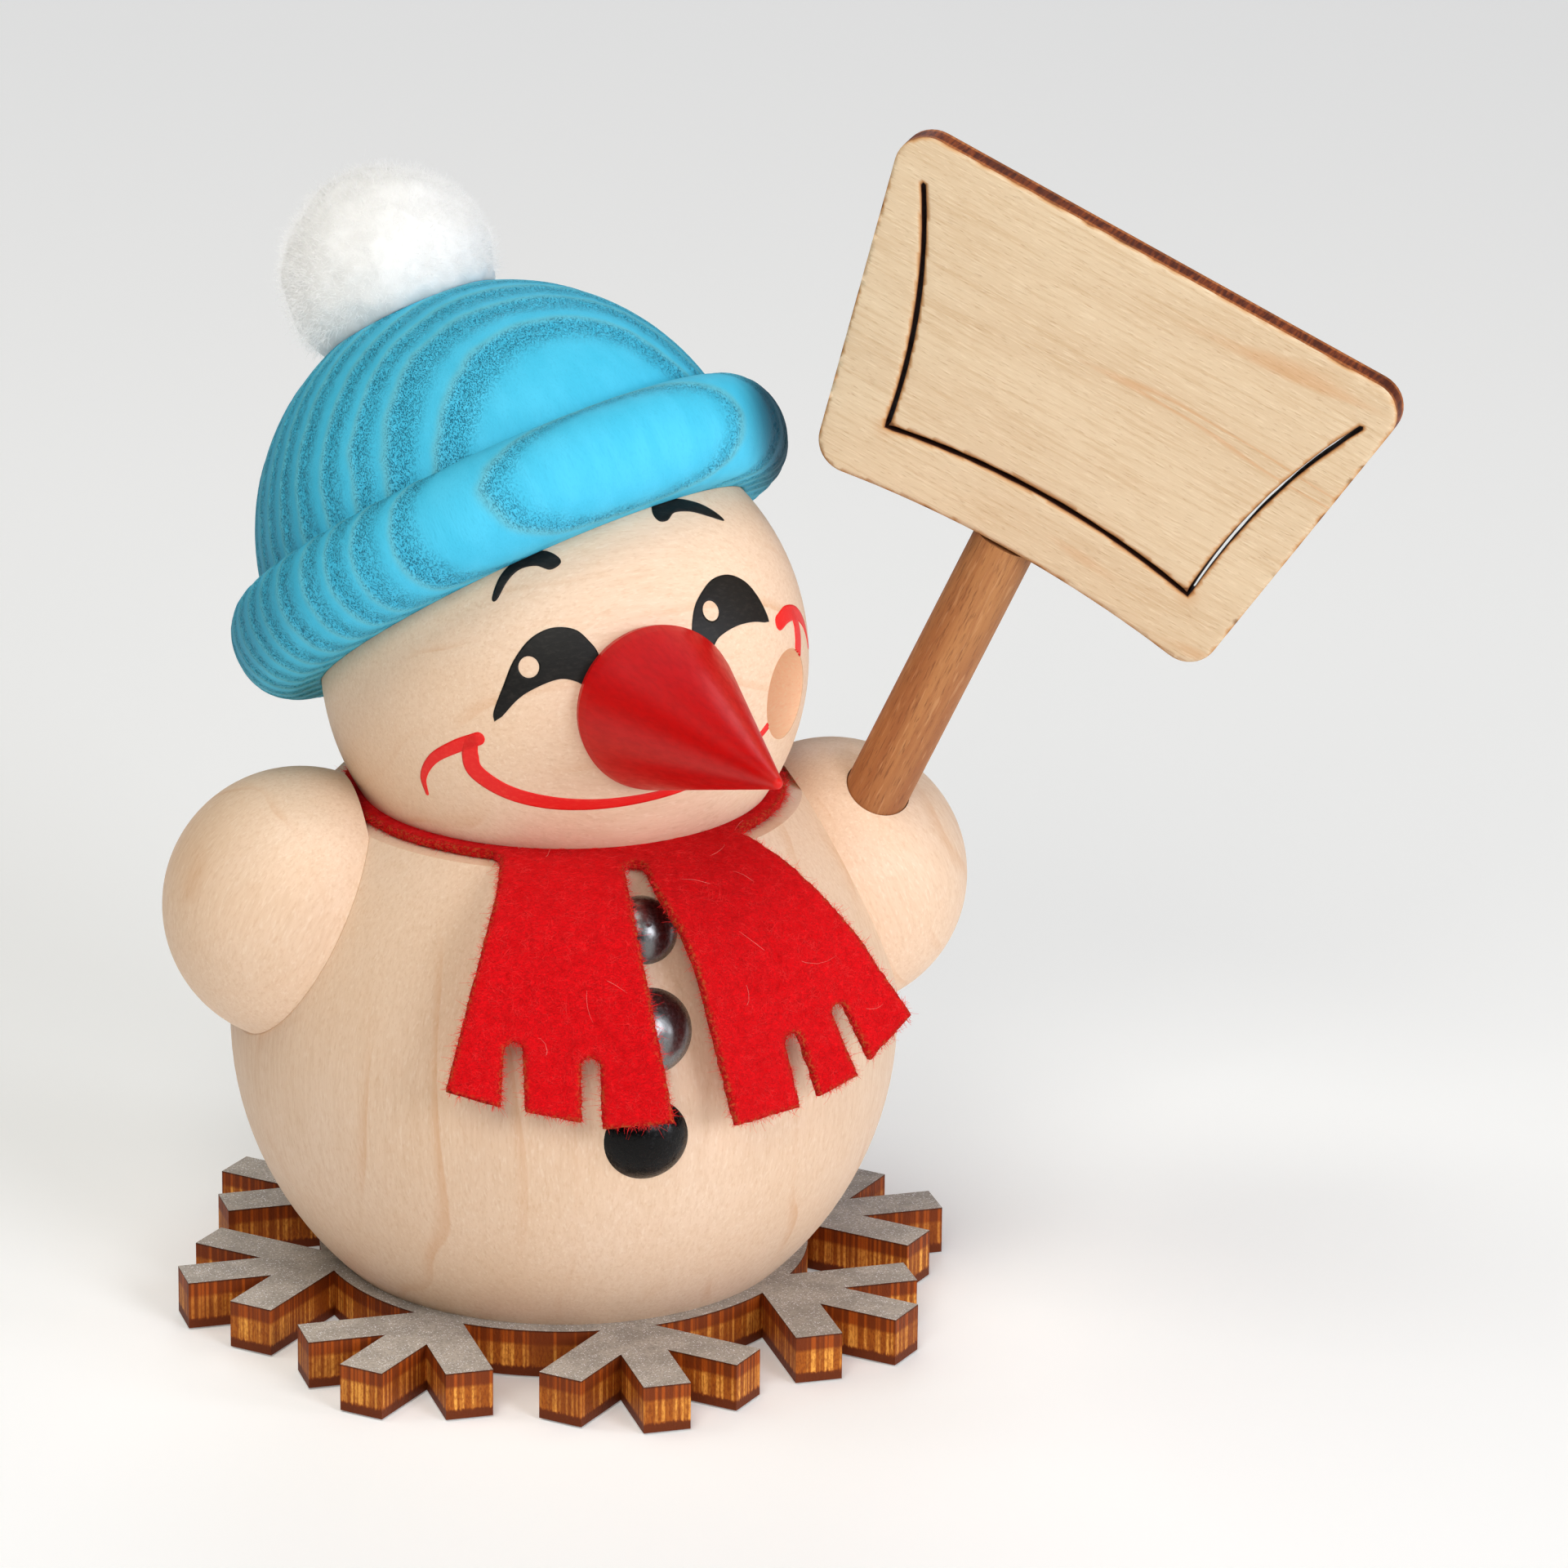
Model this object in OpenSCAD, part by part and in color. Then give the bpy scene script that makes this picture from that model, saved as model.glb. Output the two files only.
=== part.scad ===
// Turned wooden snowman smoker: a ball figure with a felt scarf, a tilted hat
// and a snow shovel, standing on a laser-cut snowflake.
// Millimetres. Origin: centre of the snowflake's underside. +Z up, the figure faces -Y.

/* [Snowflake base] */
// Thickness of the plywood snowflake
base_t = 4.5; // [3.5:0.5:6]
// Radius of the snowflake's round middle
disc_r = 22.9; // [22:0.1:25]
// Number of snowflake arms
arm_count = 8; // [8:1:8]
// Distance from the centre to the end of an arm
arm_reach = 36.5; // [34:0.5:42]
// Width of an arm and of its side prongs
prong_w = 4.4; // [3:0.1:4.6]
// Distance from the centre to where the side prongs leave an arm
prong_root = 23.3; // [22:0.1:24]
// Length of a side prong along its middle
prong_len = 12.5; // [9:0.5:13]

/* [Body] */
// Radius of the body ball
body_r = 31; // [30.8:0.1:31.4]
// Radius of the round flat that the body stands on
foot_r = 21.3; // [20.5:0.1:22]
// Height of the body's flat top above the snowflake
body_top = 44.45; // [44:0.05:44.6]
// Radius of the smoke chamber
chamber_r = 17; // [16.5:0.5:17.5]
// Diameter of the air hole low in the back
air_hole_d = 6; // [5:0.5:7]

/* [Arms] */
// Radius of the half-ball arms
arm_r = 12.7; // [12.5:0.05:12.9]
// Distance of the arm flats from the body's centre
arm_flat = 28.2; // [28:0.1:28.4]
// Rise of the figure's right arm above the horizontal, degrees
right_arm_rise = 27.5; // [22:0.5:30]
// Rise of the figure's left arm above the horizontal, degrees
left_arm_rise = 24; // [22:0.5:30]

/* [Head] */
// Radius of the head ball
head_r = 22.4; // [22:0.1:22.6]
// Height of the head's centre above its flat underside
head_rise = 11.95; // [11.5:0.05:12.2]
// Turn of the face towards the figure's left, degrees
face_turn = 7; // [0:1:12]
// Upward pitch of the nose, degrees
nose_pitch = 3.5; // [0:0.1:8]
// Distance of the nose's tip from the head's centre
nose_reach = 50; // [44:0.5:52]
// Largest radius of the nose
nose_r = 7.6; // [6.5:0.05:7.8]
// Diameter of the smoke hole in the cheek
smoke_hole_d = 8.4; // [8:0.1:9]
// Direction of the smoke hole, degrees from the front
smoke_hole_turn = 50.6; // [48:0.1:54]

/* [Hat] */
// Tilt of the hat away from upright, degrees
hat_tilt = 35; // [32:0.5:36]
// Direction of the tilt, degrees from straight back towards the figure's right
hat_tilt_turn = 31.5; // [28:0.5:34]
// Radius of the circle through the middle of the rolled brim
brim_r = 23.5; // [23.2:0.1:23.8]
// Half the height of the rolled brim
brim_half_h = 5.05; // [4.8:0.05:5.3]
// Half the depth of the rolled brim
brim_half_d = 3.95; // [3.6:0.05:4.2]
// Radius of the hat's dome
dome_r = 23.2; // [22.8:0.1:23.4]
// Radius of the pompom
pompom_r = 10.2; // [9.5:0.1:10.6]

/* [Scarf] */
// Thickness of the felt
felt_t = 0.95; // [0.8:0.05:0.95]
// Outer radius of the collar
collar_r = 20.3; // [20:0.1:21]
// Radius of the bend where a tail turns down
tail_bend_r = 12; // [11:0.5:13]
// Length of a tail beyond the collar
tail_len = 27; // [24:0.5:28]

/* [Shovel] */
// Diameter of the handle
handle_d = 6; // [6:0.5:6]
// Lean of the handle away from upright, degrees
handle_lean = 24.9; // [22:0.1:26]
// Direction of the lean, degrees from the figure's left towards its front
handle_lean_turn = 32.4; // [28:0.1:36]
// Thickness of the blade
blade_t = 3; // [2.5:0.5:3]
// Width of the blade at its lower end
blade_w_low = 40; // [38:0.2:42]
// Width of the blade at its outer end
blade_w_top = 52.2; // [50:0.2:54]
// Height of the blade
blade_h = 33; // [28:0.5:34]
// Width of the line sawn through the blade
slit_w = 0.45; // [0.3:0.05:0.8]

/* [Hidden] */
$fn = 96;

maple = [0.93, 0.83, 0.71];
beech = [0.78, 0.53, 0.34];
tinplate = [0.72, 0.72, 0.70];
felt_red = [0.86, 0.05, 0.09];
hat_blue = [0.20, 0.66, 0.85];
button_black = [0.05, 0.05, 0.05];

// A cut is taken this far past a face so that it leaves no skin
over = 1;
// Larger than the whole object, for cutting away a half-space
huge = 200;
// Radial clearance of a turning or lifting fit, and of a glued joint
fit_gap = 0.1;
glue_gap = 0.05;

// Heights
body_z = base_t + sqrt(body_r * body_r - foot_r * foot_r);
body_flat_z = base_t + body_top;
felt_room = 1;
head_flat_z = body_flat_z + felt_room;
head_z = head_flat_z + head_rise;
chamber_top_z = body_flat_z - 4;

// Burner on the snowflake
plug_h = 8.5;
plug_top_z = base_t + plug_h;
plug_spigot_r = 4;
plug_spigot_from = 2;
dish_r = 11.5;
dish_rim_r = 13.5;
dish_depth = 3;
dish_wall = 0.4;
dish_floor_z = plug_top_z - dish_depth;
nail_r = 0.5;
nail_len = 4;
nail_head_r = 1.4;
nail_head_h = 0.5;

// Height of the air hole, and the neck
air_hole_z = 20;
neck_r = 6;
neck_bore_r = 3.5;
neck_in_head = 7;

// Head
smoke_duct_r = smoke_hole_d / 2;
smoke_hole_rise = -1.2;
// The nose's axis crosses the head's axis this far above the head's centre
nose_up = 0.75;
nose_foot = sqrt(head_r * head_r - pow(nose_r + nose_up, 2));
nose_tip_r = 0.55;
nose_peg_r = 1.5;
nose_peg_in = 6;

// Hat, measured along its axis from the head's centre
brim_mid = 12.1;
brim_low = brim_mid - brim_half_h;
dome_mid = 12.65;
hat_flat = 34.2;
pompom_mid = 39.1;
hat_dowel_r = 3;
hat_dowel_from = 17;
hat_dowel_to = 29;

// Arm dowels, and the room left between an arm and the collar
arm_dowel_r = 2;
arm_dowel_in_arm = 5;
arm_dowel_in_body = 6;
collar_room = 0.15;

// Buttons: angle above the ball's middle and radius of each
top_button = [34, 3.2, 1.1];
middle_button = [17, 3.9, 0.3];
bottom_button = [-1.5, 3.9, -1];
button_h = 2.1;
button_peg_r = 1;
button_peg_in = 4;

// Scarf tails: turn from the front, sideways shift and slant of each
right_tail = [-15, 0, 0];
left_tail = [24, -2, 9];
tail_sweep = 76;
tail_root_half = 5.6;
tail_end_half = 10.3;
tail_slot_w = 2.2;
tail_slot_len = 5.8;
tail_slot_at = 3.5;
tail_end_slant = 3.2;

// Shovel: its axis passes this far from the arm's centre, and the rest is
// measured along the handle from there
shovel_shift = [-0.91, -4.16, 1.49];
handle_r = handle_d / 2;
handle_from = 3.4;
lap_from = 37.6;
lap_to = 50;
blade_low = 36.2;
blade_offset = 1.15;
blade_bow = 1.8;
blade_corner_r = 3;
// Corner, middle and end of the sawn line on one side of the blade
slit_corner = [15.65, 6.5];
slit_middle = [17.7, 17];
slit_end = [22.5, 28.6];
slit_shift = 0.4;
slit_bow = 1.6;

// ---------- helpers ----------

function direction(v) = atan2(v.y, v.x);
function unit(v) = v / norm(v);
function short_turn(a) = a > 180 ? a - 360 : a < -180 ? a + 360 : a;

// n + 1 points on an arc about c, starting at angle a
function arc(c, r, a, sweep, n) =
    [for (i = [0:n]) c + r * [cos(a + sweep * i / n), sin(a + sweep * i / n)]];

// Centre of the circle through three points
function circle_centre(p, q, s) =
    let (d = 2 * (p.x * (q.y - s.y) + q.x * (s.y - p.y) + s.x * (p.y - q.y)),
         pp = p * p,
         qq = q * q,
         ss = s * s)
    [(pp * (q.y - s.y) + qq * (s.y - p.y) + ss * (p.y - q.y)) / d,
     (pp * (s.x - q.x) + qq * (p.x - s.x) + ss * (q.x - p.x)) / d];

// Points on the arc from p through q to s, moved outward by shift
function arc_through(p, q, s, shift, n) =
    let (c = circle_centre(p, q, s),
         a = direction(p - c))
    arc(c, norm(p - c) + shift, a, short_turn(direction(s - c) - a), n);

// Points that round the corner q, between p and s, with radius r
function rounded(p, q, s, r) =
    let (u = unit(p - q),
         v = unit(s - q),
         half = acos(u * v) / 2,
         c = q + unit(u + v) * r / sin(half),
         a = direction(q + u * r / tan(half) - c))
    arc(c, r, a, short_turn(direction(q + v * r / tan(half) - c) - a), 8);

function reversed(list) = [for (i = [len(list) - 1:-1:0]) list[i]];

// A band of width w along the arc through three points, with round ends
module arc_band(p, q, s, w) {
    polygon(concat(arc_through(p, q, s, w / 2, 24), reversed(arc_through(p, q, s, -w / 2, 24))));
    for (end = [p, s]) translate(end) circle(w / 2, $fn = 24);
}

// Turns children so that their +Z points outward: turn is measured from
// the front (-Y) towards the figure's left (+X)
module aim(turn, rise) {
    rotate([0, 0, turn]) rotate([90 - rise, 0, 0]) children();
}

// Keeps the part of the children that lies above z
module above(z) {
    difference() {
        children();
        translate([0, 0, z - huge / 2]) cube(huge, center = true);
    }
}

module at_body(turn, rise) {
    translate([0, 0, body_z]) aim(turn, rise) children();
}

module at_head(turn, rise) {
    translate([0, 0, head_z]) aim(turn, rise) children();
}

module at_nose() {
    translate([0, 0, nose_up]) at_head(face_turn, nose_pitch) children();
}

// side is -1 for the figure's right arm (at -X) and 1 for its left arm
function arm_rise(side) = side < 0 ? right_arm_rise : left_arm_rise;

module at_arm(side) {
    at_body(90 * side, arm_rise(side)) translate([0, 0, arm_flat]) children();
}

module at_hat() {
    translate([0, 0, head_z]) rotate([0, 0, hat_tilt_turn]) rotate([-hat_tilt, 0, 0]) children();
}

// The shovel's frame: +Z along the handle, blade facing -Y
module at_shovel() {
    translate([arm_flat * cos(arm_rise(1)), 0, body_z + arm_flat * sin(arm_rise(1))] + shovel_shift)
        rotate([0, 0, -handle_lean_turn]) rotate([0, handle_lean, 0]) children();
}

// ---------- snowflake and burner ----------

module snowflake_outline() {
    circle(disc_r);
    for (i = [0:arm_count - 1]) rotate(i * 360 / arm_count) {
        translate([0, -prong_w / 2]) square([arm_reach, prong_w]);
        for (side = [-45, 45]) translate([prong_root, 0]) rotate(side)
            translate([0, -prong_w / 2]) square([prong_len, prong_w]);
    }
}

module snowflake_base() {
    color([0.62, 0.59, 0.55]) difference() {
        linear_extrude(base_t) snowflake_outline();
        translate([0, 0, plug_spigot_from]) cylinder(h = base_t, r = plug_spigot_r + glue_gap);
    }
}

// Turned block that locates the figure's bore and carries the dish
module burner_plug() {
    color(maple) difference() {
        union() {
            translate([0, 0, base_t]) cylinder(h = plug_h, r = chamber_r - fit_gap);
            translate([0, 0, plug_spigot_from + glue_gap]) cylinder(h = base_t, r = plug_spigot_r);
        }
        translate([0, 0, dish_floor_z - glue_gap]) cylinder(h = dish_depth + over, r = dish_r + glue_gap);
        translate([0, 0, dish_floor_z - nail_len]) cylinder(h = nail_len + over, r = nail_r, $fn = 32);
    }
}

module incense_dish() {
    color(tinplate) difference() {
        union() {
            translate([0, 0, dish_floor_z]) cylinder(h = dish_depth + dish_wall, r = dish_r);
            translate([0, 0, plug_top_z]) cylinder(h = dish_wall, r = dish_rim_r);
        }
        translate([0, 0, dish_floor_z + dish_wall]) cylinder(h = dish_depth + over, r = dish_r - dish_wall);
        translate([0, 0, dish_floor_z - over]) cylinder(h = 2 * over, r = nail_r, $fn = 32);
    }
}

module dish_nail() {
    color(tinplate) {
        translate([0, 0, dish_floor_z + dish_wall - nail_len]) cylinder(h = nail_len, r = nail_r, $fn = 32);
        translate([0, 0, dish_floor_z + dish_wall]) cylinder(h = nail_head_h, r = nail_head_r);
    }
}

// ---------- body ----------

module chamber() {
    chamber_mid_z = chamber_top_z - chamber_r;
    translate([0, 0, base_t - over]) cylinder(h = chamber_mid_z - base_t + over, r = chamber_r);
    translate([0, 0, chamber_mid_z]) sphere(chamber_r);
}

module body_ball() {
    color(maple) difference() {
        translate([0, 0, body_z]) sphere(body_r);
        translate([0, 0, base_t - huge / 2]) cube(huge, center = true);
        translate([0, 0, body_flat_z + huge / 2]) cube(huge, center = true);
        for (side = [-1, 1]) at_arm(side) {
            translate([0, 0, huge / 2]) cube(huge, center = true);
            translate([0, 0, -arm_dowel_in_body])
                cylinder(h = arm_dowel_in_body + over, r = arm_dowel_r + glue_gap);
        }
        for (b = [top_button, middle_button, bottom_button]) at_button(b) {
            cylinder(h = button_h, r = b[1]);
            translate([0, 0, -button_peg_in])
                cylinder(h = button_peg_in + over, r = button_peg_r + glue_gap);
        }
        chamber();
        translate([0, 0, body_z]) cylinder(h = body_r, r = neck_r + glue_gap);
        translate([0, 0, air_hole_z]) rotate([-90, 0, 0]) cylinder(h = body_r + over, r = air_hole_d / 2);
    }
}

// Hollow spigot, glued in the body, that the head turns on
module neck_tube() {
    tube_h = head_flat_z + neck_in_head - chamber_top_z;
    color(beech) translate([0, 0, chamber_top_z]) difference() {
        cylinder(h = tube_h, r = neck_r);
        translate([0, 0, -over]) cylinder(h = tube_h + 2 * over, r = neck_bore_r);
    }
}

// A half ball, its inner rim cut back where it would meet the collar and the head
module half_ball_arm(side) {
    difference() {
        at_arm(side) rotate([0, 0, 90]) difference() {
            above(0) sphere(arm_r);
            translate([0, 0, -over]) cylinder(h = arm_dowel_in_arm + over, r = arm_dowel_r + glue_gap);
        }
        translate([-collar_r - collar_room, -huge / 2, body_flat_z - glue_gap])
            cube([2 * (collar_r + collar_room), huge, huge]);
    }
}

module right_arm() {
    color(maple) half_ball_arm(-1);
}

module left_arm() {
    color(maple) difference() {
        half_ball_arm(1);
        at_shovel() translate([0, 0, handle_from]) cylinder(h = arm_r, r = handle_r + fit_gap);
    }
}

module arm_dowel(side) {
    color(beech) at_arm(side) translate([0, 0, glue_gap - arm_dowel_in_body])
        cylinder(h = arm_dowel_in_body + arm_dowel_in_arm - 2 * glue_gap, r = arm_dowel_r);
}

module right_arm_dowel() {
    arm_dowel(-1);
}

module left_arm_dowel() {
    arm_dowel(1);
}

// b holds a button's rise, radius and turn; its foot is a flat spot cut into the ball
module at_button(b) {
    at_body(b[2], b[0]) translate([0, 0, sqrt(body_r * body_r - b[1] * b[1])]) children();
}

// A domed button with a peg
module button(b) {
    ball_r = (b[1] * b[1] + button_h * button_h) / (2 * button_h);
    color(button_black) at_button(b) {
        above(0) translate([0, 0, button_h - ball_r]) sphere(ball_r);
        translate([0, 0, glue_gap - button_peg_in]) cylinder(h = button_peg_in, r = button_peg_r);
    }
}

module button_top() {
    button(top_button);
}

module button_middle() {
    button(middle_button);
}

module button_bottom() {
    button(bottom_button);
}

// ---------- scarf ----------

// The felt's middle line beyond the collar: [distance from the neck, height]
function tail_line(s) =
    let (bend_len = tail_bend_r * tail_sweep * PI / 180,
         a = min(s, bend_len) / tail_bend_r * 180 / PI,
         rest = max(0, s - bend_len))
    [collar_r + tail_bend_r * sin(a) + rest * cos(a),
     body_flat_z + felt_t / 2 - tail_bend_r * (1 - cos(a)) - rest * sin(a)];

// The felt in section, bent over the shoulder, as [y, z]
function tail_section() =
    let (c = [-collar_r, body_flat_z + felt_t / 2 - tail_bend_r],
         end = [-tail_line(tail_len + over).x, tail_line(tail_len + over).y],
         across = felt_t / 2 * [sin(tail_sweep), -cos(tail_sweep)])
    concat([[over * 6 - collar_r, body_flat_z + felt_t]],
           arc(c, tail_bend_r + felt_t / 2, 90, tail_sweep, 12),
           [end - across, end + across],
           reversed(arc(c, tail_bend_r - felt_t / 2, 90, tail_sweep, 12)),
           [[over * 6 - collar_r, body_flat_z]]);

// One tail's outline seen from the front, as [x, z]; t is its turn, shift and slant
// and inner is the side, -1 or 1, that lies next to the other tail
function tail_edge(t, side, inner) =
    let (end = side == inner ? tail_len : tail_len - tail_end_slant)
    [for (i = [0:6]) let (s = end * i / 6)
        [t[1] + s * tan(t[2]) + side * (tail_root_half + (tail_end_half - tail_root_half) * s / tail_len),
         tail_line(s).y]];

module tail(t, inner) {
    left_edge = tail_edge(t, -1, inner);
    right_edge = tail_edge(t, 1, inner);
    slot_top = tail_line(tail_len - tail_slot_len - tail_end_slant / 2).y;
    middle = t[1] + tail_len * tan(t[2]);
    rotate([0, 0, t[0]]) intersection() {
        rotate([90, 0, 90]) linear_extrude(huge, center = true) polygon(tail_section());
        rotate([90, 0, 0]) linear_extrude(huge) difference() {
            polygon(concat([[left_edge[0].x, body_flat_z + over]], left_edge,
                           reversed(right_edge), [[right_edge[0].x, body_flat_z + over]]));
            for (side = [-1, 1]) translate([middle + side * tail_slot_at, slot_top]) {
                translate([-tail_slot_w / 2, -huge]) square([tail_slot_w, huge]);
                circle(tail_slot_w / 2, $fn = 24);
            }
        }
    }
}

module scarf() {
    color(felt_red) {
        translate([0, 0, body_flat_z]) difference() {
            cylinder(h = felt_t, r = collar_r);
            translate([0, 0, -over]) cylinder(h = felt_t + 2 * over, r = neck_r + fit_gap);
        }
        tail(right_tail, 1);
        tail(left_tail, -1);
    }
}

// ---------- shovel ----------

module shovel_handle() {
    color(beech) at_shovel() difference() {
        translate([0, 0, handle_from]) cylinder(h = lap_to - handle_from, r = handle_r);
        translate([0, -huge / 2, lap_from + huge / 2]) cube(huge, center = true);
    }
}

module blade_outline() {
    top_l = [-blade_w_top / 2, blade_h];
    top_r = [blade_w_top / 2, blade_h];
    low_l = [-blade_w_low / 2, 0];
    low_r = [blade_w_low / 2, 0];
    bow = arc_through(low_l, [0, blade_bow], low_r, 0, 16);
    inner_bow = [for (i = [2:14]) bow[i]];
    polygon(concat(rounded(low_r, top_r, top_l, blade_corner_r),
                   rounded(top_r, top_l, low_l, blade_corner_r),
                   rounded(top_l, low_l, bow[2], blade_corner_r),
                   inner_bow,
                   rounded(bow[14], low_r, top_r, blade_corner_r)));
}

module slit_outline() {
    flip = [-1, 1];
    arc_band(slit_corner, slit_middle, slit_end, slit_w);
    mirror([1, 0]) arc_band(slit_corner, slit_middle, slit_end, slit_w);
    arc_band([-slit_corner.x, slit_corner.y], [0, slit_corner.y + slit_bow], slit_corner, slit_w);
}

module shovel_blade() {
    color([0.89, 0.77, 0.62]) at_shovel() translate([blade_offset, 0, blade_low])
        rotate([90, 0, 0]) linear_extrude(blade_t) difference() {
            blade_outline();
            translate([slit_shift, 0]) slit_outline();
        }
}

// ---------- head ----------

module head_ball() {
    color(maple) difference() {
        translate([0, 0, head_z]) sphere(head_r);
        translate([0, 0, head_flat_z - huge / 2]) cube(huge, center = true);
        translate([0, 0, head_flat_z - over])
            cylinder(h = neck_in_head + fit_gap + over, r = neck_r + fit_gap);
        translate([0, 0, head_flat_z]) cylinder(h = head_rise, r = neck_bore_r);
        at_head(smoke_hole_turn, smoke_hole_rise) translate([0, 0, -smoke_duct_r])
            cylinder(h = smoke_duct_r + head_r + over, r = smoke_duct_r);
        at_nose() translate([0, 0, head_r - nose_peg_in])
            cylinder(h = nose_peg_in + over, r = nose_peg_r + glue_gap);
        at_hat() translate([0, 0, hat_dowel_from - glue_gap])
            cylinder(h = head_r, r = hat_dowel_r + glue_gap);
    }
}

// Cone with a rounded foot and a small ball at its tip
module nose() {
    foot = [[0, nose_foot - 0.2], [nose_r - 0.75, nose_foot - 0.2], [nose_r - 0.2, nose_foot + 0.6],
            [nose_r, nose_foot + 1.5], [nose_r - 0.22, nose_foot + 2.6]];
    tip = arc([0, nose_reach - nose_tip_r], nose_tip_r, 10, 80, 6);
    color([0.80, 0.07, 0.06]) {
        difference() {
            at_nose() rotate_extrude() polygon(concat(foot, tip));
            translate([0, 0, head_z]) sphere(head_r + glue_gap);
        }
        at_nose() translate([0, 0, head_r + glue_gap - nose_peg_in])
            cylinder(h = nose_peg_in + over, r = nose_peg_r);
    }
}

module hat() {
    brim_points = 40;
    color(hat_blue) at_hat() difference() {
        union() {
            rotate_extrude() polygon([for (i = [0:brim_points - 1]) let (a = i * 360 / brim_points)
                [brim_r + brim_half_d * cos(a), brim_mid + brim_half_h * sin(a)]]);
            intersection() {
                translate([0, 0, dome_mid]) sphere(dome_r);
                translate([0, 0, brim_low]) cylinder(h = hat_flat - brim_low, r = 2 * dome_r);
            }
        }
        sphere(head_r + glue_gap);
        cylinder(h = hat_dowel_to + glue_gap, r = hat_dowel_r + glue_gap);
    }
}

module hat_dowel() {
    color(beech) at_hat() translate([0, 0, hat_dowel_from])
        cylinder(h = hat_dowel_to - hat_dowel_from, r = hat_dowel_r);
}

module pompom() {
    color("white") at_hat() above(hat_flat + glue_gap) translate([0, 0, pompom_mid]) sphere(pompom_r);
}

snowflake_base();
burner_plug();
incense_dish();
dish_nail();
body_ball();
neck_tube();
scarf();
right_arm();
left_arm();
right_arm_dowel();
left_arm_dowel();
button_top();
button_middle();
button_bottom();
shovel_handle();
shovel_blade();
head_ball();
nose();
hat();
hat_dowel();
pompom();
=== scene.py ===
"""Wooden snowman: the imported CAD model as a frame, dressed with felt, fluff, print, paint and wood grain."""

import math

import bmesh
import bpy
import numpy as np
from mathutils import Matrix, Vector
from mathutils.geometry import delaunay_2d_cdt


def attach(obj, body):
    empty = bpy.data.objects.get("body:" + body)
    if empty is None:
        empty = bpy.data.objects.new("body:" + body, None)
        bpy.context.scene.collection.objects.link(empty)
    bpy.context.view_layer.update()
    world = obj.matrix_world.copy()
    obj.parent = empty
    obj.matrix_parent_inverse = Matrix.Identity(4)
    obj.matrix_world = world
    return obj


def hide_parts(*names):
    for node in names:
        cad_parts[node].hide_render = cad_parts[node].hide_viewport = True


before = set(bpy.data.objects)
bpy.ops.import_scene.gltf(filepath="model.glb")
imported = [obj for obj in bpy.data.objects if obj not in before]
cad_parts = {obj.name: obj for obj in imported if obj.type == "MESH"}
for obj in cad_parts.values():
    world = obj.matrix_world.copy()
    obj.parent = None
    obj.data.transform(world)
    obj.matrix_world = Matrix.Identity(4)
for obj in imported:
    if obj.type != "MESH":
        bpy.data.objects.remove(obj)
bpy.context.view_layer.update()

MM = 0.001
RANDOM = np.random.default_rng(7)

# Sizes repeated from part.scad, in millimetres
BASE_T = 4.5
BODY_Z = 27.023
FLAT_Z = 48.95
HEAD_R, HEAD_Z = 22.4, 61.9
FACE_TURN, NOSE_PITCH = 7.0, 3.5
HOLE_TURN, HOLE_RISE, HOLE_R = 50.6, -1.2, 4.2
HAT_TILT, HAT_TURN = 35.0, 31.5
BRIM_R, BRIM_HALF_D, BRIM_HALF_H, BRIM_MID = 23.5, 3.95, 5.05, 12.1
DOME_R, DOME_MID, HAT_FLAT = 23.2, 12.65, 34.2
POMPOM_R, POMPOM_MID = 10.2, 39.1
FELT_T, COLLAR_R, COLLAR_HOLE, BEND_R = 0.95, 20.3, 6.1, 12.0
BEND_SWEEP = math.radians(76)
ARM_FLAT = 28.2
ARM_RISE = {"right": 27.5, "left": 24.0}
HANDLE_LEAN, HANDLE_TURN = 24.9, 32.4
SHOVEL_SHIFT = (-0.91, -4.16, 1.49)
BLADE_LOW, BLADE_SHIFT, BLADE_T = 36.2, 1.15, 3.0
BLADE_LOW_HALF, BLADE_TOP_HALF, BLADE_H, BLADE_BOW, BLADE_CORNER = 20.0, 26.1, 33.0, 1.8, 3.0
SLIT_W, SLIT_BOW, SLIT_SHIFT = 0.45, 1.6, 0.4
SLIT_CORNER, SLIT_MIDDLE, SLIT_END = (15.65, 6.5), (17.7, 17.0), (22.5, 28.6)

# Numbers of hairs
PLUSH_HAIRS, LYING_HAIRS, LONG_HAIRS, UNDER_HAIRS, EDGE_HAIRS, LINT_HAIRS = 30000, 17000, 900, 2000, 7000, 45


# ---------- directions ----------


def aim(turn, rise):
    """Side, up and outward axes of a direction: turn from the front towards +X and rise, in degrees."""
    t, r = math.radians(turn), math.radians(rise)
    out = np.array([math.sin(t) * math.cos(r), -math.cos(t) * math.cos(r), math.sin(r)])
    side = np.array([math.cos(t), math.sin(t), 0.0])
    return side, np.cross(out, side), out


def hat_axes():
    t, k = math.radians(HAT_TURN), math.radians(HAT_TILT)
    x = np.array([math.cos(t), math.sin(t), 0.0])
    z = np.array([-math.sin(t) * math.sin(k), math.cos(t) * math.sin(k), math.cos(k)])
    return x, np.cross(z, x), z


def shovel_axes():
    t, k = math.radians(-HANDLE_TURN), math.radians(HANDLE_LEAN)
    x = np.array([math.cos(t) * math.cos(k), math.sin(t) * math.cos(k), -math.sin(k)])
    z = np.array([math.cos(t) * math.sin(k), math.sin(t) * math.sin(k), math.cos(k)])
    return x, np.cross(z, x), z


def arm_centre(side):
    rise = math.radians(ARM_RISE[side])
    x = ARM_FLAT * math.cos(rise) * (-1 if side == "right" else 1)
    return np.array([x, 0.0, BODY_Z + ARM_FLAT * math.sin(rise)])


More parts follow.
